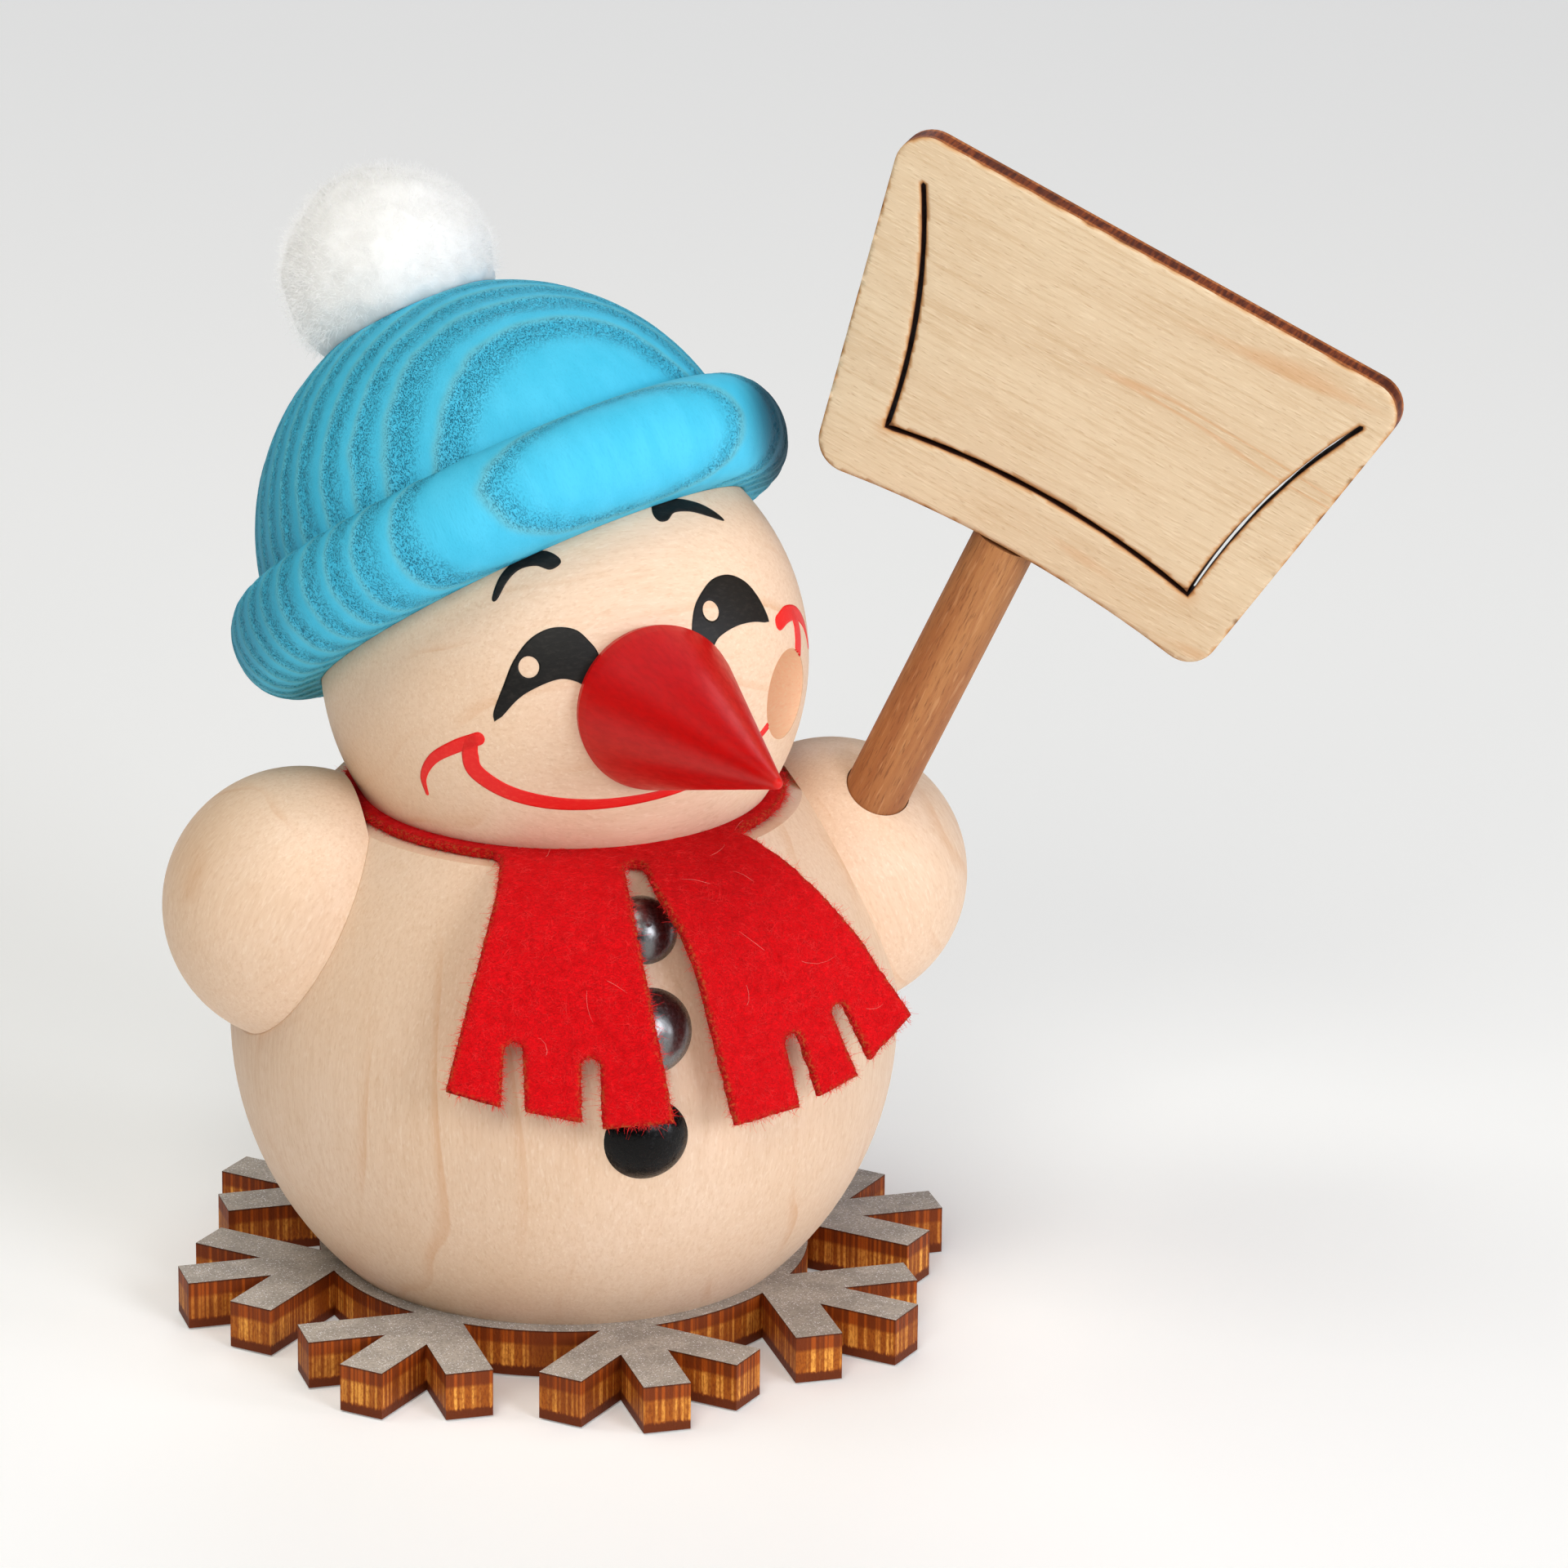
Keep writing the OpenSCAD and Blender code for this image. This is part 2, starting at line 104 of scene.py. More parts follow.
HEAD = np.array([0.0, 0.0, HEAD_Z])
BODY = np.array([0.0, 0.0, BODY_Z])


# ---------- meshes ----------


def new_object(name, verts, faces, material, attributes=None):
    """A mesh object from points in millimetres."""
    mesh = bpy.data.meshes.new(name)
    mesh.from_pydata((np.asarray(verts, float) * MM).tolist(), [], [tuple(int(i) for i in f) for f in faces])
    mesh.validate()
    for key, values in (attributes or {}).items():
        layer = mesh.attributes.new(key, "FLOAT", "POINT")
        layer.data.foreach_set("value", np.asarray(values, np.float32))
    mesh.polygons.foreach_set("use_smooth", [True] * len(mesh.polygons))
    mesh.materials.append(material)
    obj = bpy.data.objects.new(name, mesh)
    bpy.context.scene.collection.objects.link(obj)
    return obj


def inside(points, loops):
    """Even-odd test of 2D points against closed loops."""
    hit = np.zeros(len(points), bool)
    x, y = points[:, 0], points[:, 1]
    for loop in loops:
        a = np.asarray(loop, float)
        b = np.roll(a, -1, axis=0)
        for (x0, y0), (x1, y1) in zip(a, b):
            if y0 == y1:
                continue
            cross = (y0 > y) != (y1 > y)
            hit ^= cross & (x < x0 + (y - y0) * (x1 - x0) / (y1 - y0))
    return hit


def edge_distance(points, loops):
    """Distance of 2D points to the nearest loop edge."""
    best = np.full(len(points), 1e9)
    for loop in loops:
        a = np.asarray(loop, float)
        b = np.roll(a, -1, axis=0)
        for p, q in zip(a, b):
            d = q - p
            n = d @ d
            if n == 0:
                continue
            t = np.clip(((points - p) @ d) / n, 0, 1)
            best = np.minimum(best, np.linalg.norm(points - p - t[:, None] * d, axis=1))
    return best


def refine(loop, step):
    """The same closed loop with its long edges divided."""
    out = []
    pts = [np.asarray(p, float) for p in loop]
    for p, q in zip(pts, pts[1:] + pts[:1]):
        n = max(1, int(np.linalg.norm(q - p) / step + 0.5))
        out += [p + (q - p) * i / n for i in range(n)]
    return out


def fill(loops, step):
    """Triangulates the area inside closed loops on a fine grid: points and counter-clockwise triangles."""
    loops = [refine(l, step) for l in loops]
    everything = np.concatenate([np.array(l) for l in loops])
    lo, hi = everything.min(0), everything.max(0)
    rows = np.arange(lo[1] + step / 2, hi[1], step * 0.866)
    grid = []
    for j, y in enumerate(rows):
        xs = np.arange(lo[0] + (j % 2) * step / 2, hi[0], step)
        grid.append(np.stack([xs, np.full_like(xs, y)], 1))
    grid = np.concatenate(grid)
    grid = grid[inside(grid, loops)]
    grid = grid[edge_distance(grid, loops) > 0.45 * step]
    verts, edges = [], []
    for l in loops:
        n = len(verts)
        verts += [Vector(p) for p in l]
        edges += [(n + i, n + (i + 1) % len(l)) for i in range(len(l))]
    verts += [Vector(p) for p in grid]
    out = delaunay_2d_cdt(verts, edges, [], 0, 1e-5)
    points = np.array([v[:] for v in out[0]])
    tris = np.array(out[2])
    tris = tris[inside(points[tris].mean(1), loops)]
    u, v = points[tris[:, 1]] - points[tris[:, 0]], points[tris[:, 2]] - points[tris[:, 0]]
    flip = u[:, 0] * v[:, 1] - u[:, 1] * v[:, 0] < 0
    tris[flip] = tris[flip][:, ::-1]
    return points, tris


def rim_edges(tris):
    """The directed edges that only one triangle uses."""
    seen = {}
    for a, b, c in tris:
        for e in ((a, b), (b, c), (c, a)):
            seen[e] = True
    return [e for e in seen if (e[1], e[0]) not in seen]


def slab(points, tris, layers):
    """Closes a 2D triangulation into a solid. layers go from points to 3D, from the top face down."""
    rows = [layer(points) for layer in layers]
    n = len(points)
    rim = rim_edges(tris)
    verts = list(rows[0]) + list(rows[-1])
    faces = [tuple(t) for t in tris] + [tuple(t[::-1] + n) for t in tris]
    index = [{i: i for i in range(n)}]
    for row in rows[1:-1]:
        ids = {}
        for a, _ in rim:
            ids[a] = len(verts)
            verts.append(row[a])
        index.append(ids)
    index.append({i: i + n for i in range(n)})
    for up, down in zip(index, index[1:]):
        faces += [(up[b], up[a], down[a], down[b]) for a, b in rim]
    return np.array(verts), faces


def catmull(points, n=8, closed=False):
    """A smooth path through points."""
    p = np.array(points, float)
    ends = (p[-1:], p[:2]) if closed else (2 * p[:1] - p[1:2], 2 * p[-1:] - p[-2:-1])
    p = np.concatenate([ends[0], p, ends[1]])
    out = []
    for i in range(1, len(p) - 2):
        a, b, c, d = p[i - 1], p[i], p[i + 1], p[i + 2]
        for k in range(n):
            t = k / n
            bend, twist = 2 * a - 5 * b + 4 * c - d, 3 * b - a - 3 * c + d
            out.append(0.5 * (2 * b + (c - a) * t + bend * t * t + twist * t**3))
    if not closed:
        out.append(p[-2])
    return np.array(out)


def arc_through(p, q, s, n, shift=0.0):
    """Points on the circle from p through q to s, moved outward by shift."""
    (ax, ay), (bx, by), (cx, cy) = p, q, s
    d = 2 * (ax * (by - cy) + bx * (cy - ay) + cx * (ay - by))
    aa, bb, cc = ax * ax + ay * ay, bx * bx + by * by, cx * cx + cy * cy
    c = np.array([(aa * (by - cy) + bb * (cy - ay) + cc * (ay - by)) / d,
                  (aa * (cx - bx) + bb * (ax - cx) + cc * (bx - ax)) / d])
    r = math.hypot(*(np.array(p) - c)) + shift
    a0 = math.atan2(ay - c[1], ax - c[0])
    sweep = (math.atan2(cy - c[1], cx - c[0]) - a0 + math.pi) % (2 * math.pi) - math.pi
    t = a0 + sweep * np.linspace(0, 1, n + 1)
    return c + r * np.stack([np.cos(t), np.sin(t)], 1)


def ring(x, y, r, n=24):
    turns = np.linspace(0, 2 * math.pi, n, endpoint=False)
    return [(x + r * math.cos(a), y + r * math.sin(a)) for a in turns]


def rounded(p, q, s, r, n=6):
    """Points that round the corner q between p and s."""
    p, q, s = (np.asarray(v, float) for v in (p, q, s))
    u, v = (p - q) / np.linalg.norm(p - q), (s - q) / np.linalg.norm(s - q)
    half = math.acos(float(np.clip(u @ v, -1, 1))) / 2
    reach = r / math.tan(half)
    c = q + (u + v) / np.linalg.norm(u + v) * r / math.sin(half)
    a0 = math.atan2(*(q + u * reach - c)[::-1])
    sweep = (math.atan2(*(q + v * reach - c)[::-1]) - a0 + math.pi) % (2 * math.pi) - math.pi
    t = a0 + sweep * np.linspace(0, 1, n + 1)
    return c + r * np.stack([np.cos(t), np.sin(t)], 1)


def fibres(name, paths, radius, material):
    """Three-sided tapering hairs along paths, an array (hairs, points, 3) in millimetres."""
    count, k, _ = paths.shape
    along = np.gradient(paths, axis=1)
    along /= np.linalg.norm(along, axis=2, keepdims=True) + 1e-9
    ref = np.where(np.abs(along[..., 2:3]) < 0.9, [[[0.0, 0.0, 1.0]]], [[[1.0, 0.0, 0.0]]])
    u = np.cross(along, ref)
    u /= np.linalg.norm(u, axis=2, keepdims=True) + 1e-9
    v = np.cross(along, u)
    width = np.asarray(radius).reshape(-1, 1, 1) * np.linspace(1, 0.35, k)[None, :, None]
    rings = np.stack([paths + width * (math.cos(a) * u + math.sin(a) * v) for a in (0, 2.094, 4.189)], 2)
    verts = rings.reshape(-1, 3)
    faces = []
    base = np.arange(count) * k * 3
    for i in range(k - 1):
        for j in range(3):
            a, b = base + i * 3 + j, base + i * 3 + (j + 1) % 3
            faces.append(np.stack([a, b, b + 3, a + 3], 1))
    faces = np.concatenate(faces).tolist()
    top = base + (k - 1) * 3
    faces += np.stack([base, base + 2, base + 1], 1).tolist() + np.stack([top, top + 1, top + 2], 1).tolist()
    return new_object(name, verts, faces, material)


def plan(points):
    """Points of a flat outline with a height of zero added."""
    return np.concatenate([points, points[:, :1] * 0], 1)


def value_noise(points, scale, seed=0):
    """Smooth noise from -1 to 1, made of a few turned sine lattices, at about scale millimetres."""
    rng = np.random.default_rng(seed)
    total = np.zeros(len(points))
    for _ in range(7):
        k = rng.normal(size=3)
        k *= rng.uniform(0.6, 1.5) * 2 * math.pi / (scale * np.linalg.norm(k))
        total += np.sin(points @ k + rng.uniform(0, 6.283) + 1.3 * np.sin(points @ np.roll(k, 1) * 0.7))
    return total / 3.2


# ---------- materials ----------


class Paint:
    """A node material, built up from the coordinates of the row frame."""

    def __init__(self, name):
        self.material = bpy.data.materials.new(name)
        self.material.use_nodes = True
        self.tree = self.material.node_tree
        self.tree.nodes.clear()
        out = self.node("OutputMaterial")
        self.bsdf = self.node("BsdfPrincipled")
        self.tree.links.new(self.bsdf.outputs[0], out.inputs[0])
        self.coordinates = self.node("TexCoord").outputs["Object"]

    def node(self, kind, **settings):
        n = self.tree.nodes.new("ShaderNode" + kind)
        for key, value in settings.items():
            setattr(n, key, value)
        return n

    def put(self, socket, value):
        if isinstance(value, bpy.types.NodeSocket):
            self.tree.links.new(value, socket)
        elif isinstance(value, (tuple, list)) and len(value) == 3 and socket.type == "RGBA":
            socket.default_value = (*value, 1)
        else:
            socket.default_value = value

    def set(self, **values):
        for key, value in values.items():
            self.put(self.bsdf.inputs[key.replace("_", " ")], value)
        return self

    def math(self, operation, *values):
        n = self.node("Math", operation=operation)
        for socket, value in zip(n.inputs, values):
            self.put(socket, value)
        return n.outputs[0]

    def times(self, a, b):
        return self.math("MULTIPLY", a, b)

    def plus(self, a, b):
        return self.math("ADD", a, b)

    def hypot(self, a, b):
        return self.math("SQRT", self.plus(self.times(a, a), self.times(b, b)))

    def vector(self, operation, *values):
        n = self.node("VectorMath", operation=operation)
        for socket, value in zip(n.inputs, values):
            self.put(socket, value)
        return n.outputs["Value" if operation in ("DOT_PRODUCT", "LENGTH", "DISTANCE") else "Vector"]

    def local(self, axes, origin):
        """Coordinates along axes from origin, both in millimetres of the row frame, result in millimetres."""
        p = self.vector("SUBTRACT", self.coordinates, tuple(float(v) * MM for v in origin))
        n = self.node("CombineXYZ")
        parts = [self.vector("DOT_PRODUCT", p, tuple(float(v) / MM for v in a)) for a in axes]
        for socket, part in zip(n.inputs, parts):
            self.put(socket, part)
        return n.outputs[0], parts

    def millimetres(self):
        return self.stretch(self.coordinates, (1000.0, 1000.0, 1000.0))

    def stretch(self, vector, factors):
        return self.vector("MULTIPLY", vector, tuple(factors))

    def noise(self, vector, scale, detail=2.0, rough=0.5, warp=0.0):
        n = self.node("TexNoise")
        for key, value in (("Scale", scale), ("Detail", detail), ("Roughness", rough), ("Distortion", warp)):
            self.put(n.inputs[key], value)
        self.put(n.inputs["Vector"], vector)
        return n.outputs[0]

    def grain(self, vector, factors, detail=2.0, rough=0.5, warp=0.0):
        """Noise drawn out by different factors along the three axes."""
        return self.noise(self.stretch(vector, factors), 1.0, detail, rough, warp)

    def cells(self, vector, scale, output="Distance"):
        n = self.node("TexVoronoi")
        self.put(n.inputs["Vector"], vector)
        self.put(n.inputs["Scale"], scale)
        return n.outputs[output]

    def span(self, value, lo, hi, to_lo=0.0, to_hi=1.0, smooth=True):
        n = self.node("MapRange", interpolation_type="SMOOTHSTEP" if smooth else "LINEAR")
        for socket, v in zip(n.inputs, (value, lo, hi, to_lo, to_hi)):
            self.put(socket, v)
        return n.outputs[0]

    def mix(self, factor, a, b, blend="MIX"):
        n = self.node("Mix", data_type="RGBA", blend_type=blend)
        self.put(n.inputs[0], factor)
        self.put(n.inputs[6], a)
        self.put(n.inputs[7], b)
        return n.outputs[2]

    def attribute(self, name):
        return self.node("Attribute", attribute_name=name).outputs["Fac"]

    def bump(self, height, distance, strength=1.0):
        n = self.node("Bump")
        self.put(n.inputs["Strength"], strength)
        self.put(n.inputs["Distance"], distance * MM)
        self.put(n.inputs["Height"], height)
        return n.outputs[0]

    def face_normal(self):
        n = self.node("SeparateXYZ")
        self.put(n.inputs[0], self.node("TexCoord").outputs["Normal"])
        return n.outputs


def srgb(r, g, b):
    """Linear colour from 0 to 255 values."""
    values = [v / 255 for v in (r, g, b)]
    return tuple(((v + 0.055) / 1.055) ** 2.4 if v > 10 / 255 else v / 12.92 for v in values)


def maple(name, axes, origin, pith=(30.0, 8.0), ring=5.0, seed=0.0, warmth=1.0, tone=1.0, hole=False):
    """Pale, close-grained turned wood, the grain running along axes[2]."""
    p = Paint(name)
    xyz, (x, y, z) = p.local(axes, origin)
    xyz = p.vector("ADD", xyz, (seed * 31.0, seed * 17.0, seed * 7.0))
    drift = p.grain(xyz, (0.05, 0.05, 0.018), 2)
    dx, dy = p.plus(x, pith[0]), p.plus(y, pith[1])
    radius = p.hypot(dx, dy)
    rings = p.plus(p.math("DIVIDE", radius, ring), p.times(drift, 2.6))
    phase = p.math("FRACT", rings)
    line = p.times(p.span(phase, 0.80, 0.97), p.span(phase, 0.97, 1.0, 1.0, 0.0))
    wander = p.grain(xyz, (0.09, 0.09, 0.03), 2)
    line = p.times(line, p.span(wander, 0.42, 0.68))
    streak = p.grain(xyz, (2.2, 2.2, 0.16), 3, 0.6)
    fleck = p.grain(xyz, (4.4, 4.4, 1.2), 2, 0.6)
    shine = p.grain(xyz, (3.6, 6.2, 1.0), 1)
    blotch = p.grain(xyz, (0.06, 0.06, 0.04), 2)
    colour = p.mix(p.span(blotch, 0.3, 0.7), srgb(239, 209, 182), srgb(234, 201, 170))
    colour = p.mix(p.times(p.span(streak, 0.38, 0.72), 0.30), colour, srgb(217, 178, 142))
    colour = p.mix(p.times(p.span(fleck, 0.50, 0.70), 0.24), colour, srgb(208, 160, 118))
    colour = p.mix(p.times(p.span(shine, 0.56, 0.72), 0.30), colour, srgb(250, 228, 206))
    colour = p.mix(p.times(line, 0.42 * warmth), colour, srgb(212, 152, 98))
    colour = p.mix(1.0, colour, (tone, tone, tone), "MULTIPLY")
    height = p.plus(p.times(streak, 0.6), p.times(fleck, 0.5))
    p.set(Base_Color=colour, Roughness=p.span(streak, 0.3, 0.7, 0.46, 0.58), Specular_IOR_Level=0.42)
    p.set(Normal=p.bump(height, 0.035, 0.35), Subsurface_Weight=0.06)
    p.set(Subsurface_Scale=0.6 * MM, Subsurface_Radius=(1.0, 0.6, 0.35))
    if hole:
        # Light bounced about inside the smoke hole's mouth
        _, (u, v, w) = p.local(aim(HOLE_TURN, HOLE_RISE), HEAD)
        off = p.hypot(u, v)
        deep = p.hypot(w, off)
        mouth = p.times(p.math("LESS_THAN", off, HOLE_R + 0.1), p.span(deep, HEAD_R - 9.0, HEAD_R - 3.0))
        mouth = p.times(mouth, p.math("LESS_THAN", deep, HEAD_R - 0.08))
        mouth = p.times(mouth, p.math("GREATER_THAN", w, 0.0))
        p.set(Emission_Color=srgb(236, 176, 132), Emission_Strength=p.times(mouth, 0.24))
    return p.material


def beech(name, axes, origin, seed=0.0):
    """Reddish-brown dowel with long pores and pale flecks along axes[2]."""
    p = Paint(name)
    xyz, _ = p.local(axes, origin)
    xyz = p.vector("ADD", xyz, (seed, seed * 3.1, seed * 5.3))
    broad = p.grain(xyz, (0.45, 0.45, 0.03), 2)
    streak = p.grain(xyz, (2.6, 2.6, 0.10), 3, 0.6)
    pore = p.grain(xyz, (7.0, 7.0, 0.55), 2, 0.7)
    ray = p.grain(xyz, (4.2, 1.2, 0.42), 1)
    colour = p.mix(p.span(broad, 0.3, 0.7), srgb(188, 130, 78), srgb(158, 98, 56))
    colour = p.mix(p.times(p.span(streak, 0.4, 0.7), 0.5), colour, srgb(160, 98, 56))
    colour = p.mix(p.times(p.span(pore, 0.54, 0.68), 0.6), colour, srgb(118, 68, 40))
    colour = p.mix(p.times(p.span(ray, 0.60, 0.74), 0.35), colour, srgb(214, 162, 112))
    height = p.math("SUBTRACT", p.times(streak, 0.5), p.times(p.span(pore, 0.5, 0.75), 0.8))
    p.set(Base_Color=colour, Roughness=0.6, Specular_IOR_Level=0.35, Normal=p.bump(height, 0.05, 0.6))
    return p.material


def nose_paint():
    p = Paint("nose_lacquer")
    xyz, (x, y, z) = p.local(aim(FACE_TURN, NOSE_PITCH), HEAD)
    streak = p.grain(xyz, (2.2, 2.2, 0.22), 3, 0.6)
    speck = p.noise(xyz, 5.0, 2, 0.7)
    tip = p.span(z, 47.0, 49.6)
    colour = p.mix(p.span(streak, 0.35, 0.7), srgb(206, 8, 7), srgb(192, 5, 5))
    colour = p.mix(p.times(p.span(speck, 0.70, 0.78), 0.35), colour, srgb(232, 90, 74))
    colour = p.mix(p.times(tip, 0.4), colour, srgb(226, 52, 44))
    height = p.plus(p.times(streak, 0.25), p.times(p.span(speck, 0.6, 0.8), 0.3))
    p.set(Base_Color=colour, Roughness=p.span(streak, 0.3, 0.7, 0.34, 0.42), Normal=p.bump(height, 0.03, 0.5))
    p.set(Specular_IOR_Level=0.18)
    return p.material


def button_paint(name, seed, gloss):
    p = Paint(name)
    xyz = p.vector("ADD", p.millimetres(), (seed, 2 * seed, 3 * seed))
    lump = p.noise(xyz, 0.5, 2)
    pit = p.noise(xyz, 2.6, 3, 0.6)
    height = p.plus(lump, p.times(p.span(pit, 0.5, 0.8), 0.45))
    p.set(Base_Color=p.mix(pit, srgb(5, 4, 4), srgb(12, 10, 10)))
    p.set(Roughness=p.span(pit, 0.35, 0.75, 0.24, 0.36))
    p.set(Normal=p.bump(height, 0.12, 0.7), Specular_IOR_Level=gloss)
    if gloss > 0.5:
        p.set(Coat_Weight=1.0, Coat_Roughness=0.32, Coat_IOR=2.0)
    return p.material


def felt(name, fibre=False):
    """Needled red felt; a fibre of it is the same colour without the surface relief."""
    p = Paint(name)
    xyz = p.millimetres()
    tuft = p.noise(xyz, 1.5, 4, 0.7, 0.6)
    thread = p.grain(xyz, (3.0, 7.0, 4.4), 3, 0.7, 1.4)
    colour = p.mix(p.span(tuft, 0.32, 0.68), srgb(238, 4, 16), srgb(255, 9, 22))
    if fibre:
        colour = p.mix(p.span(p.noise(xyz, 0.9, 1), 0.35, 0.65), srgb(236, 10, 20), srgb(254, 52, 54))
    else:
        colour = p.mix(p.times(p.span(thread, 0.48, 0.66), 0.4), colour, srgb(164, 1, 10))
        singe = p.span(p.noise(xyz, 3.2, 2, 0.7), 0.46, 0.62)
        rim = p.attribute("burnt")
        colour = p.mix(p.times(rim, 0.45), colour, srgb(150, 8, 10))
        colour = p.mix(p.times(p.times(rim, singe), 0.7), colour, srgb(206, 104, 50))
        height = p.plus(p.times(tuft, 0.8), p.times(thread, 0.8))
        p.set(Normal=p.bump(height, 0.40, 1.0))
    p.set(Base_Color=colour, Roughness=0.95, Specular_IOR_Level=0.1, Sheen_Weight=0.08, Sheen_Roughness=0.6)
    p.set(Sheen_Tint=(1.0, 0.2, 0.18))
    return p.material


def lint(name):
    p = Paint(name)
    p.set(Base_Color=srgb(248, 132, 124), Roughness=0.8, Specular_IOR_Level=0.2)
    return p.material


def fluff(name, glow=0.0):
    """White plush; glow stands in for the light that passes through the fine fringe."""
    p = Paint(name)
    xyz = p.millimetres()
    tuft = p.noise(xyz, 0.55, 4, 0.6, 0.5)
    dim = 1.0 - glow
    white = [tuple(dim * v for v in srgb(*c)) for c in ((236, 235, 233), (245, 244, 242))]
    p.set(Base_Color=p.mix(p.span(tuft, 0.3, 0.7), *white), Roughness=0.9)
    p.set(Specular_IOR_Level=0.15, Sheen_Weight=0.3, Sheen_Roughness=0.5, Normal=p.bump(tuft, 0.25, 0.4))
    p.set(Subsurface_Weight=0.8, Subsurface_Scale=5.0 * MM, Subsurface_Radius=(1.0, 1.0, 1.0))
    p.set(Emission_Color=(1.0, 0.99, 0.97), Emission_Strength=glow)
    return p.material


def print_ink(name, dark, light, roughness):
    """Pad-printed ink that lets a little of the wood's grain through."""
    p = Paint(name)
    xyz, _ = p.local(aim(FACE_TURN, NOSE_PITCH), HEAD)
    grain = p.grain(xyz, (0.6, 3.2, 3.2), 3, 0.6)
    speck = p.noise(xyz, 4.0, 2, 0.7)
    colour = p.mix(p.times(p.span(grain, 0.45, 0.75), 0.55), dark, light)
    p.set(Base_Color=colour, Roughness=roughness, Specular_IOR_Level=0.3)
    p.set(Normal=p.bump(p.plus(grain, p.times(speck, 0.5)), 0.03, 0.5))
    return p.material


def hat_paint():
    """Blue stain over brushed softwood; band is 1 on the rough, pitted growth layers."""
    p = Paint("hat_stain")
    xyz, _ = p.local(GRAIN_AXES, HEAD)
    band = p.attribute("band")
    edge = p.attribute("band_edge")
    pore = p.grain(xyz, (9.0, 4.2, 9.0), 2, 0.6, 0.3)
    fine = p.grain(xyz, (7.5, 1.1, 7.5), 2, 0.6)
    soft = p.grain(xyz, (0.5, 0.12, 0.5), 2)
    colour = p.mix(p.span(soft, 0.3, 0.7), srgb(66, 192, 227), srgb(74, 198, 233))
    colour = p.mix(p.times(p.span(fine, 0.45, 0.8), 0.25), colour, srgb(44, 158, 196))
    colour = p.mix(p.times(edge, 0.42), colour, srgb(122, 182, 178))
    hollow = p.times(band, p.span(pore, 0.50, 0.68))
    colour = p.mix(p.times(band, 0.15), colour, srgb(40, 156, 192))
    colour = p.mix(p.times(hollow, 0.85), colour, srgb(12, 106, 144))
    # Painted shadow: the stain darkens over the last few millimetres towards the brim's right end
    shadow_reach = p.attribute("brim_shadow")
    colour = p.mix(p.span(shadow_reach, -4.6, -1.2, 0.0, 0.88), colour, srgb(8, 52, 70))
    # Painted shade, lighter: darkens the surfaces that face away from the brim's right end
    turned = p.vector("DOT_PRODUCT", p.node("TexCoord").outputs["Normal"], SHADOW_SIDE)
    colour = p.mix(p.span(turned, -0.55, -0.98, 0.0, 0.40), colour, srgb(14, 84, 112))
    height = p.math("SUBTRACT", p.times(fine, 0.2), p.times(hollow, 1.2))
    p.set(Base_Color=colour, Roughness=0.68, Specular_IOR_Level=0.3, Normal=p.bump(height, 0.16, 0.9))
    return p.material


def board_paint():
    """Pale plywood face with its grain across the blade, and laser-burnt plies round the rim."""
    p = Paint("shovel_board_ply")
    xyz, (x, y, z) = p.local(shovel_axes(), BLADE_ORIGIN)
    streak = p.grain(xyz, (0.10, 2.0, 2.4), 3, 0.6)
    fine = p.grain(xyz, (0.45, 6.0, 7.0), 3, 0.65)
    broad = p.grain(xyz, (0.02, 0.3, 0.16), 2, 0.5, 0.3)
    pore = p.grain(xyz, (0.9, 8.0, 9.0), 1)
    colour = p.mix(p.span(broad, 0.35, 0.68), srgb(231, 206, 171), srgb(222, 194, 158))
    colour = p.mix(p.times(p.span(streak, 0.46, 0.66), 0.40), colour, srgb(206, 170, 126))
    colour = p.mix(p.times(p.span(fine, 0.52, 0.66), 0.55), colour, srgb(244, 222, 190))
    colour = p.mix(p.times(p.span(pore, 0.62, 0.72), 0.35), colour, srgb(196, 150, 106))
    line = p.times(p.span(broad, 0.60, 0.64), p.span(broad, 0.64, 0.655, 1.0, 0.0))
    colour = p.mix(p.times(line, 0.4), colour, srgb(214, 150, 92))
    scorch = p.attribute("scorch")
    colour = p.mix(p.span(scorch, 0.10, 0.75), colour, srgb(204, 148, 92))
    colour = p.mix(p.span(scorch, 0.55, 1.0), colour, srgb(96, 42, 18))
    wall = p.attribute("wall")
    depth = p.math("ABSOLUTE", p.plus(y, BLADE_T / 2))
    tooth = p.grain(xyz, (3.0, 0.35, 3.0), 2, 0.6)
    char = p.mix(p.span(tooth, 0.35, 0.65), srgb(84, 34, 16), srgb(140, 66, 28))
    outer = p.mix(p.span(tooth, 0.4, 0.7), srgb(166, 92, 44), srgb(196, 122, 66))
    ply = p.mix(p.span(depth, 0.75, 0.95), char, outer)
    ply = p.mix(p.times(p.span(p.grain(xyz, (0.25, 0.25, 0.25), 2), 0.45, 0.7), 0.6), ply, srgb(72, 28, 14))
    colour = p.mix(wall, colour, ply)
    colour = p.mix(p.times(wall, p.attribute("slit")), colour, srgb(58, 26, 12))
    height = p.plus(p.times(fine, 0.8), p.times(p.span(pore, 0.6, 0.72), -0.7))
    height = p.plus(height, p.times(wall, p.times(tooth, 1.5)))
    p.set(Base_Color=colour, Roughness=0.62, Specular_IOR_Level=0.32, Normal=p.bump(height, 0.05, 0.7))
    return p.material


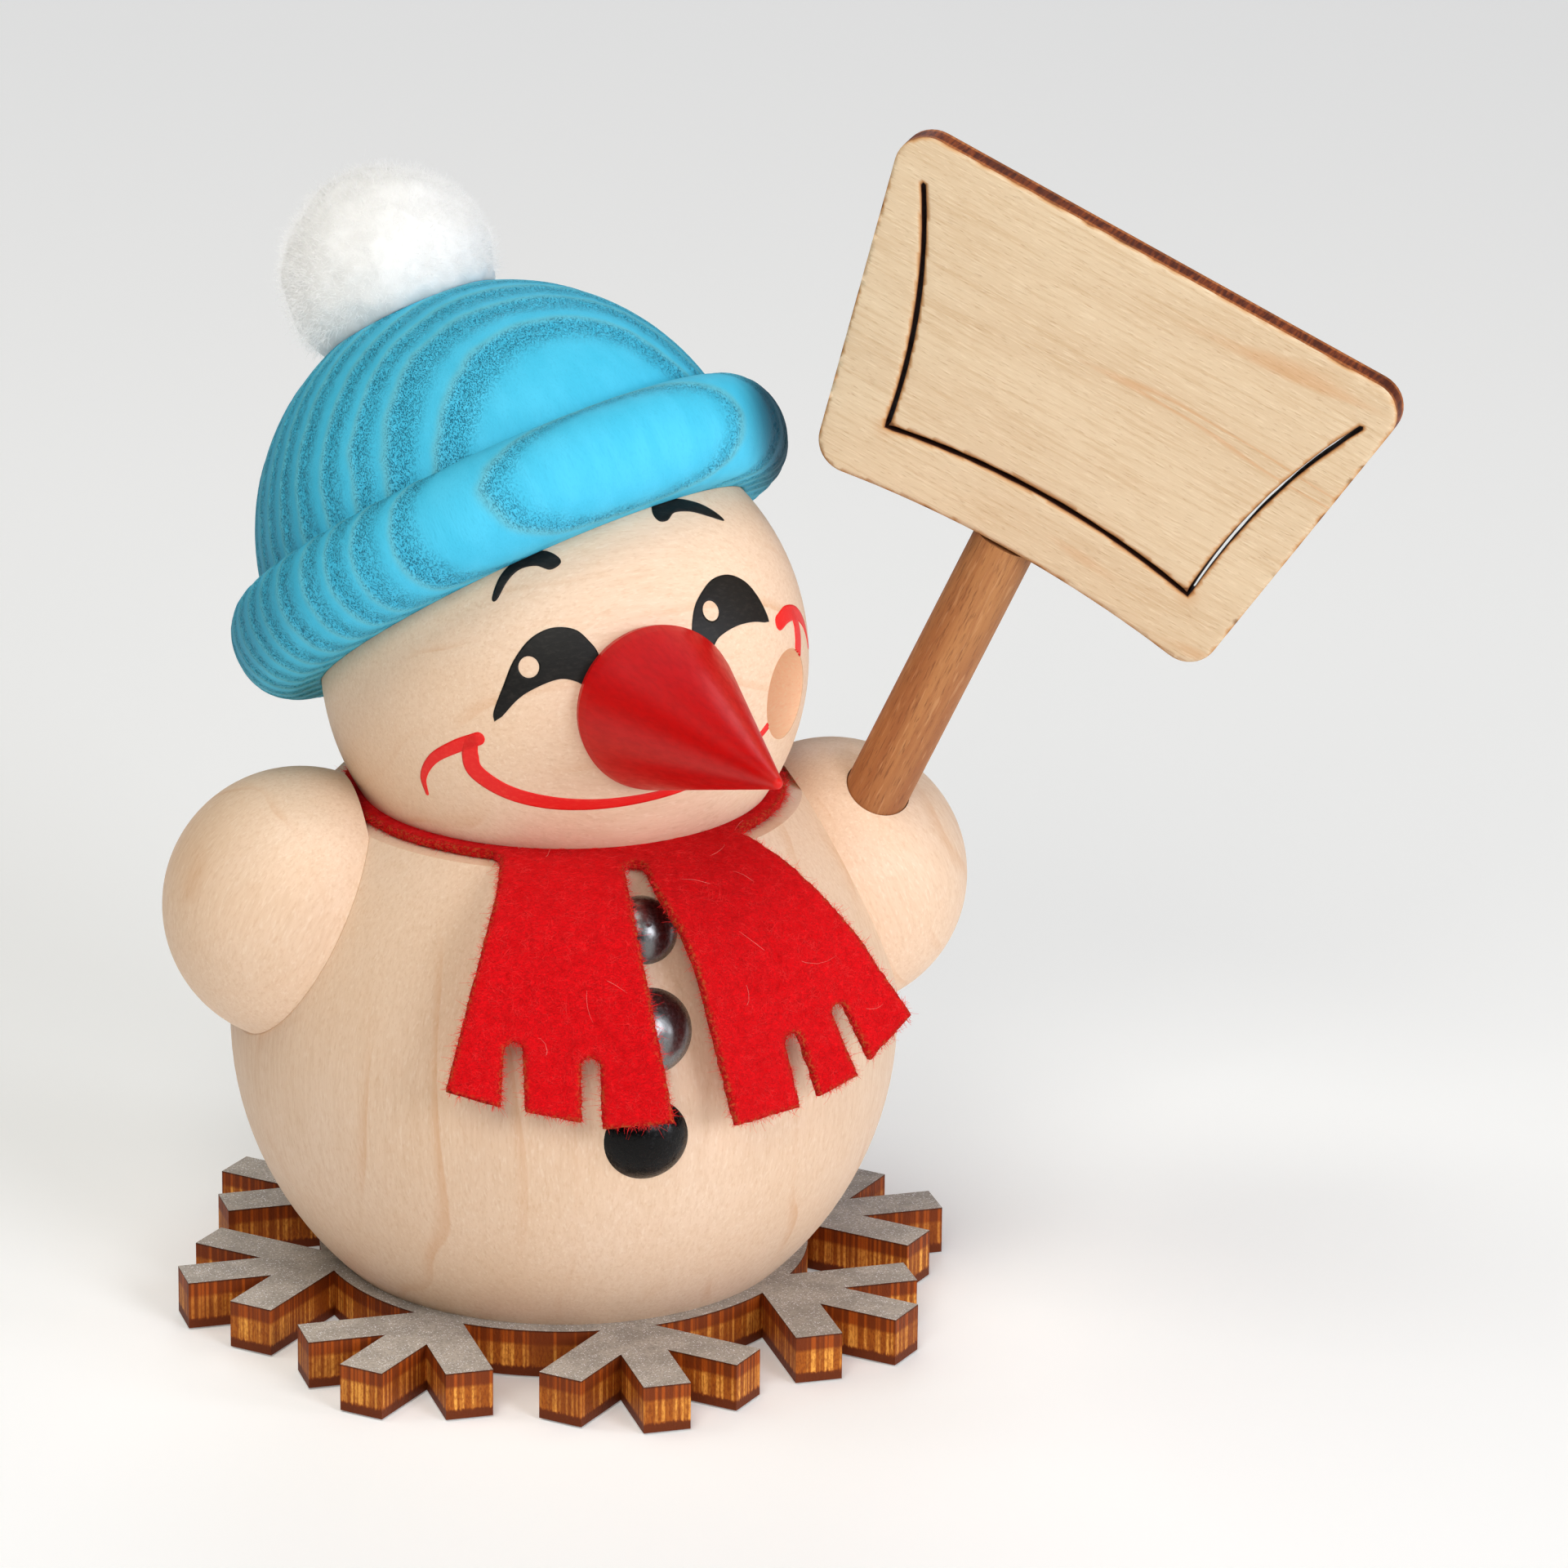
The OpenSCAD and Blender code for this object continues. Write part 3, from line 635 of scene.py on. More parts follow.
def snowflake_paint():
    """Silver glitter with painted glints on the faces, burnt plywood plies on the edges."""
    p = Paint("snowflake_glitter_ply")
    xyz = p.millimetres()
    _, (x, y, z) = p.local(np.eye(3), (0, 0, 0))
    flat = p.span(p.math("ABSOLUTE", p.face_normal()[2]), 0.6, 0.8)
    mottle = p.noise(xyz, 0.35, 3, 0.6)
    grit = p.noise(xyz, 4.2, 2, 0.7)
    flake = p.cells(xyz, 5.0)
    shine = p.cells(xyz, 5.0, output="Color")
    lit = p.node("SeparateColor")
    p.put(lit.inputs[0], shine)
    # Painted glints: a few glitter cells turned near-white, standing in for flakes that catch the light
    painted_glint = p.times(p.math("GREATER_THAN", lit.outputs[0], 0.70), p.math("LESS_THAN", flake, 0.36))
    face = p.mix(p.span(mottle, 0.35, 0.65), srgb(168, 160, 151), srgb(190, 181, 171))
    face = p.mix(p.times(p.span(grit, 0.45, 0.65), 0.5), face, srgb(122, 115, 108))
    face = p.mix(p.times(painted_glint, 0.75), face, srgb(240, 240, 244))
    # Edges: fine upright scorch lines, the middle ply golden where the beam left it lighter
    line = p.span(p.cells(p.stretch(xyz, (2.7, 2.7, 0.02)), 1.0), 0.22, 0.62)
    tooth = p.grain(xyz, (5.0, 5.0, 2.2), 2, 0.6)
    warm = p.grain(xyz, (0.22, 0.22, 0.1), 2)
    skin = p.mix(line, srgb(166, 76, 16), srgb(116, 48, 8))
    golden = p.mix(line, srgb(246, 172, 74), srgb(172, 92, 22))
    level = p.plus(z, p.times(p.math("SUBTRACT", tooth, 0.5), 0.6))
    inside = p.times(p.span(level, 0.8, 1.1), p.span(level, 3.3, 2.9))
    inside = p.times(inside, p.math("MULTIPLY_ADD", p.span(tooth, 0.35, 0.6), 0.55, 0.40))
    side = p.mix(p.times(inside, p.span(warm, 0.32, 0.60, 0.35, 1.0)), skin, golden)
    side = p.mix(p.span(level, 1.0, 0.7), side, srgb(102, 42, 8))
    side = p.mix(p.times(p.span(z, BASE_T - 0.22, BASE_T - 0.06), 0.7), side, srgb(44, 22, 12))
    colour = p.mix(flat, side, face)
    height = p.plus(p.times(grit, p.times(flat, 0.8)), p.times(p.math("SUBTRACT", 1.0, flat), tooth))
    p.set(Base_Color=colour, Roughness=0.6)
    p.set(Normal=p.bump(height, 0.10, 0.7), Specular_IOR_Level=0.2)
    return p.material


def tinplate(name):
    p = Paint(name)
    xyz, (x, y, z) = p.local(np.eye(3), (0, 0, 0))
    radius = p.hypot(x, y)
    turned = p.noise(p.times(radius, 1.0), 3.0, 2)
    soot = p.noise(xyz, 0.25, 3)
    p.set(Base_Color=p.mix(p.times(p.span(soot, 0.4, 0.7), 0.5), srgb(190, 188, 182), srgb(120, 104, 86)))
    p.set(Metallic=1.0, Roughness=p.span(soot, 0.3, 0.7, 0.3, 0.55), Normal=p.bump(turned, 0.03, 0.4))
    return p.material


# ---------- the hat ----------

# Growth layers of the hat's block: the third axis crosses them
_, _, ACROSS = aim(13.3, 32.0)
GRAIN_AXES = (np.cross(hat_axes()[2], ACROSS), hat_axes()[2], ACROSS)
# Direction of the brim's right end: a painted shadow darkens the stain there, and a lighter painted shade
# darkens the surfaces that face the other way
SHADOW_SIDE = (0.96, -0.22, 0.17)
# Where its rough early growth lies, from the front of the brim to the back
ROUGH_LAYERS = (23.9, 18.15, 14.8, 11.95, 8.85, 5.5, 2.4, -0.7,
                -3.9, -7.0, -10.2, -13.2, -16.4, -19.5, -22.7, -25.8)


# The hat's hollow clears the head by this much
SOCKET_R = HEAD_R + 0.05


def hat_profile():
    """Outer line of the hat as [radius, height], from the head up to the flat under the pompom."""
    low = BRIM_MID - BRIM_HALF_H
    start = [(math.sqrt(SOCKET_R ** 2 - low**2), low)]
    t = np.linspace(-math.pi / 2, math.pi / 2, 60)
    brim = [(BRIM_R + BRIM_HALF_D * math.cos(a), BRIM_MID + BRIM_HALF_H * math.sin(a)) for a in t]
    t = np.linspace(math.pi / 2, math.pi, 40)
    back = [(BRIM_R + BRIM_HALF_D * math.cos(a), BRIM_MID + BRIM_HALF_H * math.sin(a)) for a in t]
    back = [p for p in back[1:] if math.hypot(p[0], p[1] - DOME_MID) > DOME_R + 0.02]
    top = math.asin((HAT_FLAT - DOME_MID) / DOME_R)
    first = math.atan2(back[-1][1] - DOME_MID, back[-1][0])
    dome = [(DOME_R * math.cos(a), DOME_MID + DOME_R * math.sin(a)) for a in np.linspace(first, top, 120)[1:]]
    return np.array(start + brim + back + dome)


def make_hat():
    profile = hat_profile()
    around = 620
    length = np.concatenate([[0], np.cumsum(np.linalg.norm(np.diff(profile, axis=0), axis=1))])
    rows = int(length[-1] / 0.26)
    s = np.linspace(0, length[-1], rows)
    line = np.stack([np.interp(s, length, profile[:, 0]), np.interp(s, length, profile[:, 1])], 1)
    slope = np.gradient(line, axis=0)
    slope /= np.linalg.norm(slope, axis=1)[:, None]
    x, y, z = hat_axes()
    turn = np.linspace(0, 2 * math.pi, around, endpoint=False)
    spoke = np.cos(turn)[:, None] * x + np.sin(turn)[:, None] * y
    points = HEAD + line[:, None, :1] * spoke[None] + line[:, None, 1:] * z
    normal = slope[:, None, 1:] * spoke[None] - slope[:, None, :1] * z
    points, normal = points.reshape(-1, 3), normal.reshape(-1, 3)
    rel = points - HEAD
    depth = rel @ ACROSS + 0.28 * value_noise(rel, 16, 3) + 0.10 * value_noise(rel, 4, 4)
    band = np.zeros(len(points))
    edge = np.zeros(len(points))
    for i, at in enumerate(ROUGH_LAYERS):
        half = 0.42 if i == 0 else 0.92 - 0.02 * i
        d = depth - at
        inner = 1 / (1 + np.exp(-(d + half * 0.8) / 0.13))
        outer = 1 / (1 + np.exp((d - half) / 0.30))
        band = np.maximum(band, inner * outer)
        edge = np.maximum(edge, np.exp(-(((d + half * 0.95) / 0.28) ** 2)))
    pits = value_noise(rel, 0.95, 11) + 0.7 * value_noise(rel, 0.55, 12)
    sink = band * (0.10 + 0.11 * np.clip(pits, -0.4, 1.6)) - 0.03 * edge
    keep = np.minimum(1, np.minimum(s, s[-1] - s) / 0.8).repeat(around)
    points = points - normal * (sink * keep)[:, None]
    grid = np.arange(rows * around).reshape(rows, around)
    nxt = np.roll(grid, -1, axis=1)
    faces = np.stack([grid[:-1], nxt[:-1], nxt[1:], grid[1:]], -1).reshape(-1, 4).tolist()
    verts = points.tolist()
    previous = list(range(around))
    first = math.asin((BRIM_MID - BRIM_HALF_H) / SOCKET_R)
    for a in np.linspace(first, math.pi / 2, 14)[1:-1]:
        ring = [len(verts) + i for i in range(around)]
        r, h = SOCKET_R * math.cos(a), SOCKET_R * math.sin(a)
        verts += (HEAD + r * spoke + h * z).tolist()
        for i in range(around):
            j = (i + 1) % around
            faces.append((previous[j], previous[i], ring[i], ring[j]))
        previous = ring
    verts.append((HEAD + SOCKET_R * z).tolist())
    faces += [(previous[(i + 1) % around], previous[i], len(verts) - 1) for i in range(around)]
    top = grid[-1].tolist()
    verts.append((HEAD + HAT_FLAT * z).tolist())
    faces += [(top[i], top[(i + 1) % around], len(verts) - 1) for i in range(around)]
    extra = np.zeros(len(verts) - len(points))
    # How far each point lies short of the brim's right end, for the painted shadow there
    reach = np.array(verts) @ np.array(SHADOW_SIDE)
    marks = {"band": np.concatenate([band, extra]), "band_edge": np.concatenate([edge, extra])}
    marks["brim_shadow"] = reach - reach.max()
    obj = new_object("hat_brushed", verts, faces, hat_paint(), marks)
    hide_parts("hat")
    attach(obj, "head")


# ---------- the pompom ----------


def make_pompom():
    x, y, z = hat_axes()
    centre = HEAD + POMPOM_MID * z
    material = fluff("pompom_wool")
    mesh = bmesh.new()
    bmesh.ops.create_icosphere(mesh, subdivisions=6, radius=1.0)
    d = np.array([v.co[:] for v in mesh.verts])
    faces = [[v.index for v in f.verts] for f in mesh.faces]
    mesh.free()

    def radius(d):
        tufts = 0.014 * value_noise(d, 0.8, 5) + 0.012 * value_noise(d, 0.3, 6)
        return POMPOM_R * (0.95 + tufts + 0.006 * value_noise(d, 0.12, 8))

    points = centre + d * radius(d)[:, None]
    low = (points - HEAD) @ z - (HAT_FLAT + 0.05)
    points -= np.minimum(low, 0)[:, None] * z
    core = new_object("pompom_core", points, faces, material)
    d = RANDOM.normal(size=(PLUSH_HAIRS, 3))
    d /= np.linalg.norm(d, axis=1)[:, None]
    height = (centre + d * POMPOM_R - HEAD) @ z
    d = d[height > HAT_FLAT + 0.7]
    count = len(d)
    lean = RANDOM.normal(size=(count, 3)) * 0.8
    curl = RANDOM.normal(size=(count, 3)) * 0.75
    length = RANDOM.uniform(0.45, 0.85, count) + 0.4 * (RANDOM.random(count) > 0.99)
    t = np.linspace(0, 1, 5)[None, :, None]
    root = centre + d * (radius(d) - 0.35)[:, None]
    course = d[:, None] * t + lean[:, None] * t**2 * 0.6 + curl[:, None] * t**3 * 0.35
    paths = root[:, None] + length[:, None, None] * course
    hairs = fibres("pompom_fibres", paths, RANDOM.uniform(0.018, 0.034, count), fluff("pompom_fringe", 0.30))
    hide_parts("pompom")
    for obj in (core, hairs):
        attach(obj, "head")


# ---------- the scarf ----------

# Tails of the cut sheet as [along, across] from the collar's rim: left edge down, the fringe, right edge up
RIGHT_TAIL = (-15.0, [(0.6, -5.6), (6.0, -6.0), (13.0, -7.6)],
              [(24.1, -10.4), (25.5, -5.6), None, (25.9, -3.3), (26.9, 1.6), None, (27.4, 3.6), (26.8, 9.9)],
              [(19.7, -4.45), (21.1, 2.45)], [(14.0, 7.3), (6.0, 5.8), (0.6, 5.2)])
LEFT_TAIL = (20.0, [(1.0, -6.5), (3.2, -7.2), (6.0, -7.9), (12.0, -7.6)],
             [(28.2, -5.8), (28.1, 1.3), None, (27.5, 3.6), (26.5, 7.9), None, (25.3, 9.6), (22.3, 14.6)],
             [(21.3, 1.6), (19.7, 7.0)], [(15.0, 10.6), (9.0, 7.4), (4.5, 5.8), (0.6, 5.0)])


SLOT_W = 1.8


def tail_outline(tail):
    """One tail's cut edge in the flat sheet, from its left root to its right root, as plan points."""
    turn, left, corners, slots, right = tail
    half = SLOT_W / 2
    line = [tuple(p) for p in catmull(left + corners[:1], 6)[:-1]]
    slots = iter(slots)
    for before, corner, after in zip([None] + corners, corners, corners[1:] + [None]):
        if corner is not None:
            line.append(corner)
            continue
        top, t = next(slots)
        base = top + half
        line += [(before[0] * k + base * (1 - k), before[1] * k + (t - half) * (1 - k)) for k in (0.66, 0.33)]
        line += [(base - half * math.sin(a), t - half * math.cos(a)) for a in np.linspace(0, math.pi, 9)]
        line += [(after[0] * k + base * (1 - k), after[1] * k + (t + half) * (1 - k)) for k in (0.33, 0.66)]
    line += [tuple(p) for p in catmull(corners[-1:] + right, 6)[1:]]
    a = math.radians(turn)
    out = np.array([math.sin(a), -math.cos(a)])
    side = np.array([math.cos(a), math.sin(a)])
    return [out * (COLLAR_R + s) + side * t for s, t in line]


def sheet_outline():
    """The whole cut: both tails, the gap between them and the collar round the back."""
    right, left = tail_outline(RIGHT_TAIL), tail_outline(LEFT_TAIL)
    gap = rounded(right[-3], (right[-1] + left[0]) / 2, left[2], 1.1, 8)
    a0 = math.atan2(left[-1][1], left[-1][0])
    a1 = math.atan2(right[0][1], right[0][0]) + 2 * math.pi
    collar = [COLLAR_R * np.array([math.cos(a), math.sin(a)]) for a in np.linspace(a0 + 0.06, a1 - 0.06, 150)]
    return right[:-2] + list(gap) + left[2:] + collar


def hang(points, lift):
    """Plan points of the flat sheet, draped over the shoulder, lift millimetres above its middle surface."""
    points = np.asarray(points, float)
    z0 = FLAT_Z + FELT_T / 2 + 0.03
    out3 = np.concatenate([points, np.full((len(points), 1), z0)], 1)
    normal = np.tile([0.0, 0.0, 1.0], (len(points), 1))
    frames = []
    for turn, *_ in (RIGHT_TAIL, LEFT_TAIL):
        a = math.radians(turn)
        frames.append((np.array([math.sin(a), -math.cos(a)]), np.array([math.cos(a), math.sin(a)])))
    s = np.stack([points @ out - COLLAR_R for out, _ in frames], 1)
    t = np.stack([points @ side for _, side in frames], 1)
    middle = math.radians((RIGHT_TAIL[0] + LEFT_TAIL[0]) / 2)
    which = (points @ np.array([math.cos(middle), math.sin(middle)]) > 0.2).astype(int)
    for k, (out, side) in enumerate(frames):
        m = (which == k) & (s[:, k] > 0)
        sk, tk = s[m, k], t[m, k]
        bend = np.minimum(sk / BEND_R, BEND_SWEEP)
        rest = np.maximum(0, sk - BEND_R * BEND_SWEEP)
        flare = 0.0035 * rest * np.abs(tk)
        rho = COLLAR_R + BEND_R * np.sin(bend) + rest * np.cos(bend) + flare
        z = z0 - BEND_R * (1 - np.cos(bend)) - rest * np.sin(bend)
        out3[m] = np.concatenate([rho[:, None] * out + tk[:, None] * side, z[:, None]], 1)
        normal[m] = np.concatenate([np.sin(bend)[:, None] * out, np.cos(bend)[:, None]], 1)
    return out3 + normal * np.asarray(lift).reshape(-1, 1), normal


def make_scarf():
    outline = sheet_outline()
    hole = ring(0.0, 0.0, COLLAR_HOLE, 60)
    points, tris = fill([outline, hole], 0.42)
    away = edge_distance(points, [outline, hole])
    rim = rim_edges(tris)
    outward = np.zeros((len(points), 2))
    for a, b in rim:
        d = points[b] - points[a]
        n = np.array([d[1], -d[0]]) / (np.linalg.norm(d) + 1e-9)
        outward[a] += n
        outward[b] += n
    outward /= np.linalg.norm(outward, axis=1)[:, None] + 1e-9
    rough = 0.05 * value_noise(plan(points), 1.3, 21)
    edge_in = np.exp(-away / 0.15) * 0.10
    wobble = 0.06 * value_noise(plan(points), 0.9, 22)

    def layer(share, push):
        def place(p):
            lift = share * FELT_T / 2 + rough * share - np.sign(share) * edge_in * (abs(share) == 1)
            return hang(p + outward * (push + wobble)[:, None], lift)[0]
        return place

    shares = ((1, -0.04), (0.55, 0.05), (0, 0.08), (-0.55, 0.05), (-1, -0.04))
    verts, faces = slab(points, tris, [layer(share, push) for share, push in shares])
    burnt = np.exp(-away / 0.16)
    burnt = np.concatenate([burnt, burnt, np.ones(len(verts) - 2 * len(points))])
    scarf = new_object("felt_scarf", verts, faces, felt("scarf_felt"), attributes={"burnt": burnt})
    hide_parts("scarf")

    # Hairs: most lie on the sheet, some stand off its cut edge
    tri_points = points[tris]
    u, v = tri_points[:, 1] - tri_points[:, 0], tri_points[:, 2] - tri_points[:, 0]
    area = np.abs(u[:, 0] * v[:, 1] - u[:, 1] * v[:, 0]) / 2

    def scatter(count):
        pick = RANDOM.choice(len(area), count, p=area / area.sum())
        a, b = RANDOM.random(count), RANDOM.random(count)
        over = a + b > 1
        a[over], b[over] = 1 - a[over], 1 - b[over]
        return tri_points[pick, 0] + a[:, None] * u[pick] + b[:, None] * v[pick]

    def lying(count, lengths, arch, side):
        root = scatter(count)
        heading = RANDOM.uniform(0, 2 * math.pi, count)
        turn = RANDOM.normal(0, 1.3, count)
        size = RANDOM.uniform(*lengths, count)
        k = 5
        path, at = [], root.copy()
        for i in range(k):
            rise = arch * RANDOM.uniform(0.5, 1.0, count) * math.sin(math.pi * i / (k - 1))
            lift = FELT_T / 2 - 0.06 + rise
            path.append(hang(at, side * lift)[0])
            angle = heading + turn * i / (k - 1)
            at = at + (size / (k - 1))[:, None] * np.stack([np.cos(angle), np.sin(angle)], 1)
        inside_all = inside(at, [outline]) & ~inside(at, [hole])
        return np.stack(path, 1)[inside_all]

    hair = felt("scarf_felt_fibre", fibre=True)
    kinds = ((LYING_HAIRS, (0.4, 1.4), 0.14, 1), (LONG_HAIRS, (1.2, 2.8), 0.34, 1),
             (UNDER_HAIRS, (0.6, 1.6), 0.2, -1))
    flat = np.concatenate([lying(*kind) for kind in kinds])
    picks = RANDOM.choice(len(rim), EDGE_HAIRS)
    ends = np.array([(points[a] + points[b]) / 2 for a, b in rim])[picks]
    push = np.array([outward[a] for a, b in rim])[picks]
    swing = RANDOM.normal(0, 0.8, len(picks))
    c, s = np.cos(swing), np.sin(swing)
    push = np.stack([push[:, 0] * c - push[:, 1] * s, push[:, 0] * s + push[:, 1] * c], 1)
    size = RANDOM.uniform(0.25, 0.75, len(picks)) + 0.8 * (RANDOM.random(len(picks)) > 0.95)
    level = RANDOM.uniform(-0.4, 0.45, len(picks))
    rise = RANDOM.normal(0, 0.5, len(picks)) * size
    out = []
    for i in range(5):
        w = i / 4 - 0.1
        out.append(hang(ends + push * (size * w)[:, None], level + rise * w * w)[0])
    hairs = fibres("felt_scarf_fibres", np.concatenate([flat, np.stack(out, 1)]), 0.02, hair)
    pale = fibres("felt_scarf_lint", lying(LINT_HAIRS, (1.8, 5.0), 0.25, 1), 0.024, lint("scarf_lint"))
    for obj in (scarf, hairs, pale):
        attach(obj, "figure")


# ---------- the shovel's blade ----------

BLADE_ORIGIN = arm_centre("left") + SHOVEL_SHIFT
BLADE_ORIGIN = BLADE_ORIGIN + shovel_axes()[0] * BLADE_SHIFT + shovel_axes()[2] * BLADE_LOW


def make_blade():
    low_l, low_r = (-BLADE_LOW_HALF, 0.0), (BLADE_LOW_HALF, 0.0)
    top_l, top_r = (-BLADE_TOP_HALF, BLADE_H), (BLADE_TOP_HALF, BLADE_H)
    bow = arc_through(low_l, (0, BLADE_BOW), low_r, 24)
    corners = ((low_r, top_r, top_l), (top_r, top_l, low_l), (top_l, low_l, bow[2]), (bow[-3], low_r, top_r))
    turns = [rounded(*corner, BLADE_CORNER, 10) for corner in corners]
    outline = list(np.concatenate([*turns[:3], bow[3:-3], turns[3]]))
    half = SLIT_W / 2
    flip = np.array([-1.0, 1.0])
    side = arc_through(SLIT_CORNER, SLIT_MIDDLE, SLIT_END, 40)
    foot = arc_through((-SLIT_CORNER[0], SLIT_CORNER[1]), (0, SLIT_CORNER[1] + SLIT_BOW), SLIT_CORNER, 50)
    path = np.concatenate([side[::-1] * flip, foot[1:-1], side]) + np.array([SLIT_SHIFT, 0])
    along = np.gradient(path, axis=0)
    along /= np.linalg.norm(along, axis=1)[:, None]
    across = np.stack([along[:, 1], -along[:, 0]], 1)
    wide = half * (1 + 0.10 * value_noise(plan(path), 3.0, 31))[:, None]
    tips = path[-1:] + along[-1:] * half, path[:1] - along[:1] * half
    slit = np.concatenate([path + across * wide, tips[0], (path - across * wide)[::-1], tips[1]])
    points, tris = fill([outline, slit], 0.45)
    to_rim = edge_distance(points, [outline])
    to_slit = edge_distance(points, [slit])
    noise = value_noise(plan(points), 2.2, 33)
    turns = [np.array(SLIT_CORNER) * k + (SLIT_SHIFT, 0) for k in (1, flip)]
    corners = np.min([np.linalg.norm(points - c, axis=1) for c in turns], axis=0)
    scorch = np.maximum(np.exp(-to_rim / 0.20) * (0.55 + 0.35 * noise), np.exp(-to_slit / 0.16) * 0.85)
    scorch = np.maximum(scorch, np.exp(-((corners / 1.5) ** 2)) * 0.42)
    scorch = np.clip(scorch, 0, 1)
    x, y, z = shovel_axes()
    ease = np.exp(-np.minimum(to_rim, to_slit) / 0.12) * 0.09
    # The kerf narrows towards the back
    nearest = path[np.argmin(np.linalg.norm(points[:, None] - path[None], axis=2), axis=1)] - points
    nearest *= (0.13 * np.exp(-to_slit / 0.15) / np.maximum(np.linalg.norm(nearest, axis=1), 1e-6))[:, None]

    def layer(depth, face):
        def place(p):
            q = p + nearest * (1 + depth / BLADE_T)[:, None]
            return BLADE_ORIGIN + q[:, :1] * x + q[:, 1:] * z + (depth + face * ease)[:, None] * y
        return place

    depths = [(-BLADE_T, 1)] + [(d, 0) for d in (-2.86, -2.2, -1.5, -0.8, -0.14)] + [(0.0, -1)]
    verts, faces = slab(points, tris, [layer(np.full(len(points), d), f) for d, f in depths])
    n = len(points)
    wall = np.concatenate([np.zeros(2 * n), np.ones(len(verts) - 2 * n)])
    rest = len(verts) - 2 * n
    rim_ids = [a for a, _ in rim_edges(tris)]
    near_slit = (to_slit[rim_ids] < 0.05).astype(float)
    slit_flag = np.concatenate([np.zeros(2 * n), np.tile(near_slit, rest // len(rim_ids))])
    scorch = np.concatenate([scorch, scorch * 0.8, np.ones(rest)])
    flags = {"scorch": scorch, "wall": wall, "slit": slit_flag}
    blade = new_object("shovel_board", verts, faces, board_paint(), flags)
    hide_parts("shovel_blade")
    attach(blade, "figure")


# ---------- the printed face ----------

# The print's own axes on the head: sideways, up, and straight out between the eyes
PRINT_X = np.array([0.976, 0.11, 0.19])
PRINT_UP = np.array([-0.2, 0.088, 0.976])
PRINT_OUT = np.cross(PRINT_X, PRINT_UP)


def on_head(angles, radius):
    a = np.radians(np.asarray(angles, float))
    level = np.sin(a[:, :1]) * PRINT_X + np.cos(a[:, :1]) * PRINT_OUT
    d = np.cos(a[:, 1:]) * level + np.sin(a[:, 1:]) * PRINT_UP
    d /= np.linalg.norm(d, axis=1)[:, None]
    return HEAD + radius * d


def make_print(name, loops, ink):
    points, tris = fill(loops, 0.5)
    middle = on_head(points[tris].mean(1), 1.0) - HEAD
    tris = tris[middle @ aim(HOLE_TURN, HOLE_RISE)[2] < math.sqrt(1 - (HOLE_R / HEAD_R) ** 2)]
    kept, tris = np.unique(tris, return_inverse=True)
    points, tris = points[kept], tris.reshape(-1, 3)
    skins = [lambda p, r=r: on_head(p, r) for r in (HEAD_R + 0.035, HEAD_R - 0.12)]
    verts, faces = slab(points, tris, skins)
    obj = new_object(name, verts, faces, ink)
    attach(obj, "head")


def stroke(points, widths, n=10):
    """A closed loop round a brush stroke through points, with round ends."""
    path = catmull(points, n)
    w = np.interp(np.linspace(0, 1, len(path)), np.linspace(0, 1, len(widths)), widths) / 2
    along = np.gradient(path, axis=0)
    along /= np.linalg.norm(along, axis=1)[:, None]
    across = np.stack([-along[:, 1], along[:, 0]], 1)

    def cap(i, first):
        turn = math.atan2(*along[i][::-1]) + np.linspace(first, first - math.pi, 9)[1:-1]
        return [path[i] + w[i] * np.array([math.cos(t), math.sin(t)]) for t in turn]

    left, right = path + across * w[:, None], path - across * w[:, None]
    return list(left) + cap(-1, 0.5 * math.pi) + list(right[::-1]) + cap(0, 1.5 * math.pi)


